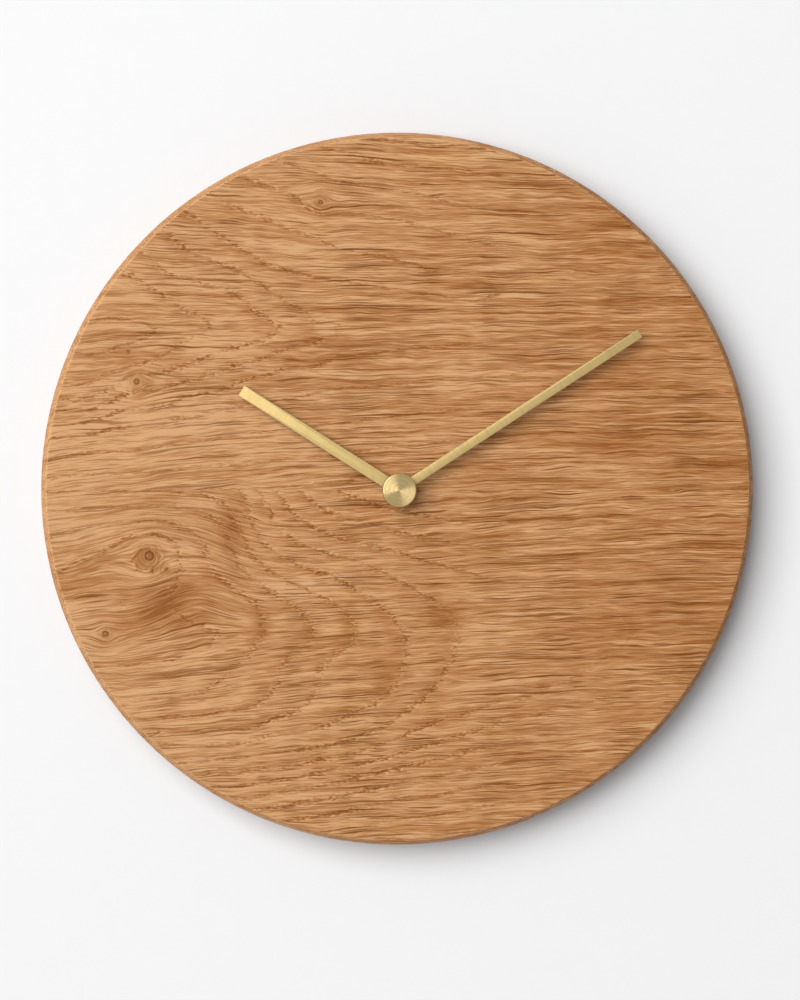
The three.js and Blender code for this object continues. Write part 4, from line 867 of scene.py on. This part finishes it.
def board_grid(sizes, lower):
    """Half of the dial as one closed loop of section points carried half a turn round the hand axis, and the loops of
    its two cut faces.

    For every angle the loop goes up the bush hole, out along the face, over the eased front edge, down the side,
    in along the back to the pocket's outline, up the pocket's wall and in along its floor."""
    radius, top, hole = sizes.radius * MM, sizes.thickness * MM, sizes.bush_hole * MM / 2
    front, rise = sizes.front_edge * MM, sizes.front_rise * MM
    back, soft = sizes.back_edge * MM, sizes.softness * MM
    floor, lip = top - sizes.web * MM, 0.4
    ease = soft * np.array((front, rise)) / math.hypot(front, rise)
    face = np.linspace(hole + 1, radius - front - 1.2, FACE_POINTS)
    rim = np.concatenate((
        upright(hole, floor, top - 0.3, 4),
        bend((hole, top - 0.2), (hole, top), (hole + 0.2, top), 3),
        np.column_stack((face, np.full(len(face), top))),
        bend((radius - front - soft, top), (radius - front, top), (radius - front + ease[0], top - ease[1]), 6),
        bend((radius - ease[0], top - rise + ease[1]), (radius, top - rise), (radius, top - rise - soft), 6),
        upright(radius, top - rise - 1.5, back + 1, 7),
        bend((radius, back + 0.3), (radius, back), (radius - 0.2, back - 0.2), 3),
        bend((radius - back + 0.2, 0.2), (radius - back, 0), (radius - back - 0.3, 0), 3),
    ))
    theta = np.linspace(0, np.pi, ARC_POINTS) + (np.pi if lower else 0)
    outline = pocket_radius(theta, sizes.pocket * MM / 2, sizes.pocket_corner * MM)
    inward = np.linspace(0, 1, BACK_POINTS)[1:, None]
    back_rows = rim[-1, 0] * (1 - inward) + (outline + lip) * inward
    lip_rows = bend((lip, 0), (0, 0), (0, lip), 4)[1:]
    wall_rows = np.linspace(lip, floor, 8)[1:]
    floor_rows = np.linspace(0, 1, 9)[1:-1, None]
    rows = np.concatenate((
        np.broadcast_to(rim[:, :1], (len(rim), len(theta))),
        back_rows,
        outline + lip_rows[:, :1],
        np.broadcast_to(outline, (len(wall_rows), len(theta))),
        outline * (1 - floor_rows) + hole * floor_rows,
    ))
    heights = (rim[:, 1], np.zeros(len(back_rows)), lip_rows[:, 1], wall_rows, np.full(len(floor_rows), floor))
    y = rows * np.sin(theta)
    gap = sizes.glue_line * MM / 2
    y = np.minimum(y, -gap) if lower else np.maximum(y, gap)
    points = np.stack(np.broadcast_arrays(rows * np.cos(theta), y, np.concatenate(heights)[:, None]), -1)
    index = np.arange(points.shape[0]) * points.shape[1]
    return points, (index[::-1], index + points.shape[1] - 1)


def stadium_radius(phi, low, high, radius):
    """Distance from the origin to the outline of a slot with round ends at heights low and high, in direction phi."""
    c, s = np.cos(phi), np.sin(phi)
    middle = np.where(s > 0, high, low)
    end = middle * s + np.sqrt(np.maximum(radius**2 - (middle * c) ** 2, 0))
    side = radius / np.maximum(np.abs(c), 1e-9)
    return np.where((side * s < high) & (side * s > low), side, end)


def keyhole_cutter(sizes):
    """Tool shape of the keyhole: the round entry with its slot through the lip, and the wider undercut below it.

    Both outlines are distances from a point just above the entry's middle, so rows of them stack into one shell."""
    entry, run, above = sizes.entry * MM / 2, sizes.run * MM, 2
    heart = sizes.rise * MM - run + above
    near = np.pi / 2 + np.linspace(-0.26, 0.26, 40)
    phi = np.unique(np.round(np.concatenate((turns(96)[0], near)), 6))
    slot = stadium_radius(phi, -above, run - above, sizes.slot * MM / 2)
    opening = np.maximum(stadium_radius(phi, -above, 1e-6 - above, entry), slot)
    undercut = stadium_radius(phi, -above, run - above, entry + 0.05)
    centre, lip, depth = np.zeros(len(phi)), sizes.lip * MM, sizes.depth * MM
    rows = np.stack((centre, opening, opening, undercut, undercut, centre))
    heights = np.array((-1.0, -1.0, lip, lip, depth, depth))[:, None]
    points = np.broadcast_arrays(rows * np.cos(phi), heart + rows * np.sin(phi), heights)
    return new_piece("keyhole_cutter", np.stack(points, -1))


def rout(piece, cutter):
    """Cuts the cutter's shape out of the piece's mesh, and removes the cutter."""
    cut = piece.modifiers.new("rout", "BOOLEAN")
    cut.operation, cut.solver, cut.object = "DIFFERENCE", "EXACT", cutter
    graph = bpy.context.evaluated_depsgraph_get()
    mesh = bpy.data.meshes.new_from_object(piece.evaluated_get(graph))
    piece.modifiers.clear()
    piece.data = mesh
    bpy.data.objects.remove(cutter)
    if len(mesh.polygons) < FEWEST_FACES:
        raise RuntimeError("the keyhole cut left no board")


class CLOCK_OT_boards(bpy.types.Operator):
    """Builds the two oak boards with their grain, the pocket and the keyhole"""

    bl_idname = "clock.boards"
    bl_label = "Oak boards"

    def execute(self, context):
        settings = context.scene.wall_clock
        material = oak_material(settings.dial)
        for name, lower, *figure in (
            ("board_upper", False, UPPER_RINGS, UPPER_KNOTS, UPPER_STAINS),
            ("board_lower", True, LOWER_RINGS, LOWER_KNOTS, LOWER_STAINS),
        ):
            points, caps = board_grid(settings.dial, lower)
            piece = new_piece(name, points, BOARD_CREASE, wrap_rows=True, wrap_columns=False, caps=caps)
            if not lower:
                rout(piece, keyhole_cutter(settings.keyhole))
                piece.data.set_sharp_from_angle(angle=math.radians(BOARD_CREASE))
            paint_figure(piece.data, settings.dial, lower, *figure)
            finish_piece(piece, f"oak_{name}", material)
        return {"FINISHED"}


# Hands


def hand_outline(length, half, hub, tip):
    """Closed outline of a hand in its own frame: round the hub, out along one side, round the tip and back."""
    meet = math.asin(half / hub)
    turn = np.linspace(meet, 2 * np.pi - meet, 48)
    arc = np.column_stack((hub * np.cos(turn), hub * np.sin(turn)))
    along = np.linspace(hub * math.cos(meet), length - tip, 32)[1:-1]
    corner = np.linspace(-np.pi / 2, 0, 5)
    right = np.column_stack((length - tip + tip * np.cos(corner), -half + tip + tip * np.sin(corner)))
    low = np.column_stack((along, np.full(len(along), -half)))
    return np.concatenate((arc, low, right, right[::-1] * (1, -1), low[::-1] * (1, -1)))


def hand_piece(name, length, width, hub, hole, angle, rear, front, edge):
    """A flat bar hand: its outline is shrunk and lifted along a quarter circle at each face, and joined to the hole.

    Every row keeps the outline's point count, so the rows close into one ring-shaped surface. The lay attribute holds
    the place across, along and through the bar."""
    tip = 0.45
    turn = np.linspace(0, np.pi / 2, 5)
    insets = edge * (1 - np.concatenate((np.sin(turn), np.cos(turn))))
    heights = np.concatenate((rear + edge * (1 - np.cos(turn)), front - edge * (1 - np.sin(turn)), (front, rear)))
    outlines = [hand_outline(length - d, width / 2 - d, hub / 2 - d, tip - d) for d in insets]
    way = np.arctan2(outlines[0][:, 1], outlines[0][:, 0])
    ring = hole / 2 * np.column_stack((np.cos(way), np.sin(way)))
    flat = np.stack((*outlines, ring, ring))
    direction = np.array(((math.sin(angle), math.cos(angle)), (-math.cos(angle), math.sin(angle))))
    lift = np.broadcast_to(heights[:, None, None], (*flat.shape[:2], 1))
    piece = new_piece(name, np.concatenate((flat @ direction, lift), -1), crease=28, wrap_rows=True)
    places = clock_points(piece.data)
    along, across = (places[:, :2] @ direction.T).T
    paint_attribute(piece.data, "lay", np.column_stack((across, along, places[:, 2])))
    return piece


class CLOCK_OT_hands(bpy.types.Operator):
    """Builds the hour and minute hands with brushed faces and rounded edges"""

    bl_idname = "clock.hands"
    bl_label = "Hands"

    def execute(self, context):
        sizes = context.scene.wall_clock.hands
        brass = brass_material("hand_brass", sizes.brass, "lay", lines=(6.0, 0.1), roughness=0.46)
        for name in ("hour", "minute"):
            bar = [getattr(sizes, f"{name}_{what}") * MM for what in ("length", "width", "hub", "hole")]
            low, high = node_box(f"{name}_hand")
            angle = getattr(sizes, f"{name}_angle")
            piece = hand_piece(f"{name}_bar", *bar, angle, low[2], high[2], sizes.edge * MM)
            finish_piece(piece, f"{name}_hand", brass)
        return {"FINISHED"}


class CLOCK_OT_cap(bpy.types.Operator):
    """Builds the turned brass cap over the hubs"""

    bl_idname = "clock.cap"
    bl_label = "Hand cap"

    def execute(self, context):
        sizes = context.scene.wall_clock.hands
        low, high = node_box("hand_cap")
        radius, rear, peak = high[0], low[2], high[2]
        cone, edge, bore = sizes.cap_cone * MM, sizes.cap_edge * MM, sizes.minute_hole * MM / 2
        flat, foot = radius - edge, peak - cone
        shoulder = foot - edge
        slant = np.linspace(flat - 0.4, 0.4, 24)
        # The profile goes down the bore, out and up round the rim and in over a flat cone, carried round the hand axis
        profile = np.concatenate((
            ((0, peak - 1.6), (bore, peak - 1.6), (bore, rear + 0.1), (bore + 0.1, rear), (bore + 0.2, rear)),
            bend((radius - 0.25, rear), (radius, rear), (radius, rear + 0.25), 5),
            upright(radius, rear + 0.6, shoulder - 0.3, 4),
            bend((radius, shoulder - 0.1), (radius, shoulder), (radius - 0.1, shoulder + 0.1), 4),
            bend((flat + 0.1, foot - 0.1), (flat, foot), (flat - 0.12, peak - cone * (1 - 0.12 / radius)), 4),
            np.column_stack((slant, peak - cone * slant / flat)),
            ((0.18, peak - 0.022), (0, peak - 0.01)),
        ))
        piece = new_piece("turned_cap", lathe(profile, CAP_ROUND), crease=24)
        x, y, z = clock_points(piece.data).T
        paint_attribute(piece.data, "turning", np.column_stack((np.arctan2(y, x) * 3, np.hypot(x, y), z)))
        brass = brass_material(
            "cap_brass", sizes.cap_brass, "turning", lines=(40.0, 0.12), roughness=0.24, turned_gloss=True
        )
        finish_piece(piece, "hand_cap", brass)
        return {"FINISHED"}


# Clamping stack


def threaded_rows(radius, start, end, columns):
    """Screw surface: radius less the thread's depth times a smooth wave of height over pitch minus turn, faded at both
    ends, and less a bevel at the end."""
    rows = max(8, int((end - start) / THREAD_PITCH * 10))
    z = np.linspace(start, end, rows)[:, None]
    wave = 0.5 - 0.5 * np.cos(2 * np.pi * z / THREAD_PITCH - turns(columns))
    fade = np.clip(np.minimum(z - start, end - z) / (0.5 * THREAD_PITCH), 0, 1)
    bevel = 0.15 * (1 - np.clip((end - z) / 0.3, 0, 1))
    return turned(radius - THREAD_DEPTH * fade * wave**1.5 - bevel, z, columns)


class CLOCK_OT_stack(bpy.types.Operator):
    """Builds the threaded bush and the nut, and finishes the washer and gasket"""

    bl_idname = "clock.stack"
    bl_label = "Clamping stack"

    def execute(self, context):
        plated = metal_material("machined_brass", paint(205, 178, 110), roughness=0.3, lines=(24.0, 0.1))
        dress(plated, "front_washer")
        rubber = moulded_material(
            "gasket_rubber", paint(48, 47, 46), roughness=0.75, grain=0.5, relief=0.00004, dust=0.2
        )
        dress(rubber, "rubber_gasket")
        self.build_bush(plated)
        self.build_nut(plated)
        return {"FINISHED"}

    def build_bush(self, material):
        """The bush: plain tail, collar against the case, and thread, round an open bore."""
        low, high = node_box("threaded_bush")
        bore, radius, collar, columns, ease = BUSH_BORE, BUSH_RADIUS, high[0], BUSH_ROUND, 0.08
        seat = node_box("rear_housing")[0][2] + BUSH_SEAT
        top = seat + COLLAR_HEIGHT
        tail = np.array((
            (bore, low[2]), (radius, low[2]), (radius, seat), (collar - ease, seat), (collar, seat + ease),
            (collar, top - ease), (collar - ease, top), (radius, top),
        ))
        mouth = np.array((
            (radius - 0.15, high[2]), (bore + 0.15, high[2]), (bore, high[2] - 0.15), (bore, low[2]),
        ))
        thread = threaded_rows(radius, top, high[2], columns)
        points = np.concatenate((lathe(tail, columns), thread, lathe(mouth, columns)))
        finish_piece(new_piece("bush_thread", points, crease=40), "threaded_bush", material)

    def build_nut(self, material):
        """The nut: a hexagon whose corners are turned down towards both faces, round an open bore."""
        low, high = node_box("hex_nut")
        flat, columns = min(high[:2]), NUT_ROUND
        start = 0 if high[0] < high[1] else np.pi / 6
        hexagon = flat / np.cos((turns(columns)[0] + start + np.pi / 6) % (np.pi / 3) - np.pi / 6)
        crown, hole = np.minimum(hexagon, flat * 1.02), np.full(columns, NUT_BORE)
        rows = np.stack((hole, crown, hexagon, hexagon, crown, hole + NUT_SINK, hole))
        rear, front = low[2], high[2]
        heights = np.array((rear, rear, rear + NUT_BEVEL, front - NUT_BEVEL, front, front, front - NUT_SINK))[:, None]
        piece = new_piece("nut_hexagon", turned(rows, heights, columns), crease=25, wrap_rows=True)
        finish_piece(piece, "hex_nut", material)


# Movement


class CLOCK_OT_case(bpy.types.Operator):
    """Finishes the movement's case and builds the fluted setting knob"""

    bl_idname = "clock.case"
    bl_label = "Movement case and knob"

    def execute(self, context):
        black = moulded_material(
            "case_plastic", paint(42, 42, 43), roughness=0.5, grain=0.22, relief=0.00003, dust=0.12
        )
        dress(black, "front_housing", "rear_housing", "chip")
        low, high = node_box("setting_knob")
        centre, radius, columns = (low[:2] + high[:2]) / 2, (high[0] - low[0]) / 2, KNOB_ROUND
        rear, front = low[2], high[2]
        floor, dish = rear + KNOB_FLOOR, rear + KNOB_DISH
        profile = np.concatenate((
            ((0, dish), (radius - 1.6, dish)),
            bend((radius - 1.4, rear + 0.3), (radius - 1.2, rear), (radius - 1.0, rear), 4),
            bend((radius - 0.5, rear), (radius, rear), (radius, rear + 0.5), 6),
            upright(radius, rear + 0.8, front - 0.4, 4),
            ((radius - 0.2, front), (KNOB_BORE, front), (KNOB_BORE, floor), (0, floor)),
        ))
        # Near the rim the radius drops by the flutes' depth times the square of a cosine wave of the turn
        depth = FLUTE_DEPTH * np.clip((profile[:, :1] - radius + 1.0) / 0.6, 0, 1)
        fluted = profile[:, :1] - depth * (0.5 - 0.5 * np.cos(FLUTES * turns(columns))) ** 2
        piece = new_piece("knob_fluted", turned(fluted, profile[:, 1:], columns, centre), crease=40)
        finish_piece(piece, "setting_knob", black)
        return {"FINISHED"}


class CLOCK_OT_train(bpy.types.Operator):
    """Finishes the wheels, plate, shafts and clutch of the going train"""

    bl_idname = "clock.train"
    bl_label = "Going train"

    def execute(self, context):
        acetal = moulded_material(
            "acetal", paint(228, 224, 210), roughness=0.42, grain=0.5, relief=0.000008, dust=0.05, glow=0.1
        )
        dress(acetal, "train_plate", "minute_wheel", "centre_wheel", "third_wheel", "second_wheel", "step_wheel",
              "rotor_pinion", "coil_bobbin", "setting_shaft")
        brass = metal_material("turned_brass", paint(200, 172, 104), roughness=0.28, lines=(30.0, 0.08))
        dress(brass, "minute_shaft", "hour_wheel")
        steel = metal_material("spring_steel", paint(196, 198, 200), roughness=0.25)
        dress(steel, "clutch_spring", "quartz_crystal", "positive_contact", "negative_contact")
        return {"FINISHED"}


class CLOCK_OT_motor(bpy.types.Operator):
    """Builds the wound coil, and finishes the stator, magnet and circuit board"""

    bl_idname = "clock.motor"
    bl_label = "Stepping motor and board"

    def execute(self, context):
        iron = metal_material("annealed_iron", paint(138, 140, 142), roughness=0.45, lines=(9.0, 0.2))
        dress(iron, "stator", "coil_core")
        magnet = moulded_material(
            "sintered_magnet", paint(72, 72, 75), roughness=0.4, grain=0.12, relief=0.00002, dust=0.05
        )
        dress(magnet, "rotor_magnet")
        dress(laminate_material(), "circuit_board")
        low, high = node_box("coil_winding")
        centre, radius, columns = ((low + high) / 2)[[0, 2]], (high[0] - low[0]) / 2, COIL_ROUND
        y = np.linspace(low[1], high[1], int((high[1] - low[1]) / WIRE_PITCH * 8))[:, None]
        # The radius drops at the ends, and by a groove between the turns of wire: one less the size of a sine of height
        # over pitch less half the turn
        groove = 1 - np.abs(np.sin(np.pi * y / WIRE_PITCH - turns(columns) / 2))
        ends = 0.12 * np.clip(0.15 - np.minimum(y - low[1], high[1] - y), 0, 1) / 0.15
        inner = np.full((1, columns), COIL_BORE)
        rows = np.concatenate((inner, radius - WIRE_GROOVE * groove - ends, inner))
        points = turned(rows, np.concatenate((y[:1], y, y[-1:])), columns, centre, axle=1)
        copper = metal_material("enamelled_copper", paint(176, 96, 52), roughness=0.3, lines=(4.0, 0.2))
        finish_piece(new_piece("coil_turns", points, crease=60, wrap_rows=True), "coil_winding", copper)
        return {"FINISHED"}


class CLOCK_OT_battery(bpy.types.Operator):
    """Builds the battery with its film sleeve, crimped ends and button"""

    bl_idname = "clock.battery"
    bl_label = "Battery"

    def execute(self, context):
        low, high = node_box("battery_cell")
        centre, radius = ((low + high) / 2)[1:], (high[1] - low[1]) / 2
        start, end, button, tip = low[0], high[0] - BUTTON_HEIGHT, BUTTON_RADIUS, high[0]
        # The profile goes out over the flat end, along the sleeve and in over the crimp and the button, round the axis
        profile = np.concatenate((
            ((0, start), (5.2, start), (5.4, start + 0.25), (6.3, start + 0.25)),
            bend((6.4, start + 0.1), (radius, start), (radius, start + 0.7), 6),
            upright(radius, start + 1.4, end - 1.4, 18),
            bend((radius, end - 0.7), (radius, end), (6.2, end - 0.05), 6),
            ((6.0, end - 0.25), (3.6, end - 0.25), (3.3, end), (button, end)),
            bend((button, tip - 0.4), (button, tip), (button - 0.45, tip), 5),
            ((0, tip),),
        ))
        piece = new_piece("cell_sleeve", lathe(profile, CELL_ROUND, centre, axle=0))
        x, y, z = clock_points(piece.data).T
        away = np.hypot(y - centre[0], z - centre[1])
        around = np.arctan2(z - centre[1], y - centre[0]) * radius
        paint_attribute(piece.data, "bare", (away < FILM_LAP).astype(float))
        paint_attribute(piece.data, "round", np.column_stack((x, around, away)))
        finish_piece(piece, "battery_cell", cell_material())
        return {"FINISHED"}


# Stage


def add_lamp(name, aim, way, reach, size, power):
    """Square area light that looks at aim from a distance of reach in direction way."""
    light = bpy.data.lights.new(name, "AREA")
    light.shape, light.size, light.energy = "SQUARE", size, power
    lamp = bpy.data.objects.new(name, light)
    bpy.context.scene.collection.objects.link(lamp)
    lamp.location = aim + Vector(way).normalized() * reach
    lamp.rotation_euler = (-Vector(way)).to_track_quat("-Z", "Y").to_euler()


class CLOCK_OT_stage(bpy.types.Operator):
    """Sets up the white wall, the window light, the light behind the wall, and the camera"""

    bl_idname = "clock.stage"
    bl_label = "Stage"

    def execute(self, context):
        sizes, dial = context.scene.wall_clock.stage, context.scene.wall_clock.dial
        aim = Vector((AIM_SHIFT[0], -dial.thickness, AXIS_RISE / MM + AIM_SHIFT[1]))
        self.build_wall(sizes, dial.radius * MM)
        add_lamp("window_light", aim, WINDOW_WAY, sizes.key_distance, sizes.key_size, sizes.key_power)
        add_lamp("back_light", aim, BACK_WAY, BACK_DISTANCE, BACK_SIZE, BACK_POWER)
        self.light_room(context, sizes)
        self.set_camera(context, sizes, aim)
        context.scene.view_settings.view_transform = "Standard"
        return {"FINISHED"}

    def build_wall(self, sizes, radius):
        """The wall: flat rings from just inside the clock's rim outwards, facing the camera."""
        distance = np.concatenate(((radius - 1.5, radius + 40), np.geomspace(radius + 120, WALL_REACH, 8)))
        profile = np.column_stack((distance, np.full(len(distance), -WALL_BEHIND)))
        wall = new_piece("wall", lathe(profile, WALL_ROUND))
        normals = np.empty(len(wall.data.polygons) * 3)
        wall.data.polygons.foreach_get("normal", normals)
        if normals.reshape(-1, 3)[:, 1].mean() > 0:
            wall.data.flip_normals()
        wall.data.materials.append(wall_material(sizes.wall))

    def light_room(self, context, sizes):
        """The light from all round, stronger on the window's side. Straight and glossy rays see a white room."""
        world = bpy.data.worlds.new("soft_room")
        context.scene.world = world
        world.use_nodes = True
        g = Graph(world.node_tree)
        rays = g.named(g.node("LightPath").outputs)
        seen = g.larger(rays["Is Camera Ray"], g.larger(rays["Is Glossy Ray"], rays["Is Transmission Ray"]))
        sideways = g.parts(g.value("TexCoord", None, "Generated"))[0]
        shares = {0: sideways, 1: -1.0, 2: 1.0, 3: sizes.fill * WINDOW_FILL, 4: sizes.fill * FAR_FILL}
        strength = seen.spread(g.value("MapRange", shares), 1.0)
        g.wire(world.node_tree.nodes["Background"].inputs, {"Color": WHITE, "Strength": strength})

    def set_camera(self, context, sizes, aim):
        """The camera, a little to the left of the clock's middle and above it."""
        camera = bpy.data.objects.new("camera", bpy.data.cameras.new("camera"))
        context.scene.collection.objects.link(camera)
        level = math.cos(sizes.pitch)
        back = Vector((-math.sin(sizes.yaw) * level, -math.cos(sizes.yaw) * level, math.sin(sizes.pitch)))
        camera.location = aim + back * sizes.distance
        camera.rotation_euler = (-back).to_track_quat("-Z", "Y").to_euler()
        camera.data.lens, camera.data.sensor_width, camera.data.clip_end = sizes.lens, 36.0, 50.0
        context.scene.camera = camera


OPERATORS = (
    CLOCK_OT_boards, CLOCK_OT_hands, CLOCK_OT_cap, CLOCK_OT_stack, CLOCK_OT_case,
    CLOCK_OT_train, CLOCK_OT_motor, CLOCK_OT_battery, CLOCK_OT_stage,
)


class CLOCK_PT_panel(bpy.types.Panel):
    """Lists the clock's pieces and settings"""

    bl_idname = "CLOCK_PT_panel"
    bl_label = "Oak wall clock"
    bl_space_type = "VIEW_3D"
    bl_region_type = "UI"
    bl_category = "Wall clock"

    def draw(self, context):
        for operator in OPERATORS:
            self.layout.operator(operator.bl_idname)
        for part in ("dial", "keyhole", "hands", "stage"):
            settings = getattr(context.scene.wall_clock, part)
            box = self.layout.box()
            box.label(text=part.title())
            for name in settings.bl_rna.properties.keys():
                if name not in ("rna_type", "name"):
                    box.prop(settings, name)


CLASSES = (DialSizes, KeyholeSizes, HandSizes, StageSizes, ClockSettings, *OPERATORS, CLOCK_PT_panel)


def register():
    """Registers the classes and hangs the settings on the scene."""
    for entry in CLASSES:
        bpy.utils.register_class(entry)
    bpy.types.Scene.wall_clock = PointerProperty(
        name="Wall clock", description="Sizes and colours of the clock", type=ClockSettings
    )


def unregister():
    """Takes the settings and classes away again."""
    del bpy.types.Scene.wall_clock
    for entry in reversed(CLASSES):
        bpy.utils.unregister_class(entry)


def main():
    register()
    bpy.ops.clock.boards()
    bpy.ops.clock.hands()
    bpy.ops.clock.cap()
    bpy.ops.clock.stack()
    bpy.ops.clock.case()
    bpy.ops.clock.train()
    bpy.ops.clock.motor()
    bpy.ops.clock.battery()
    bpy.ops.clock.stage()


if __name__ == "__main__":
    main()
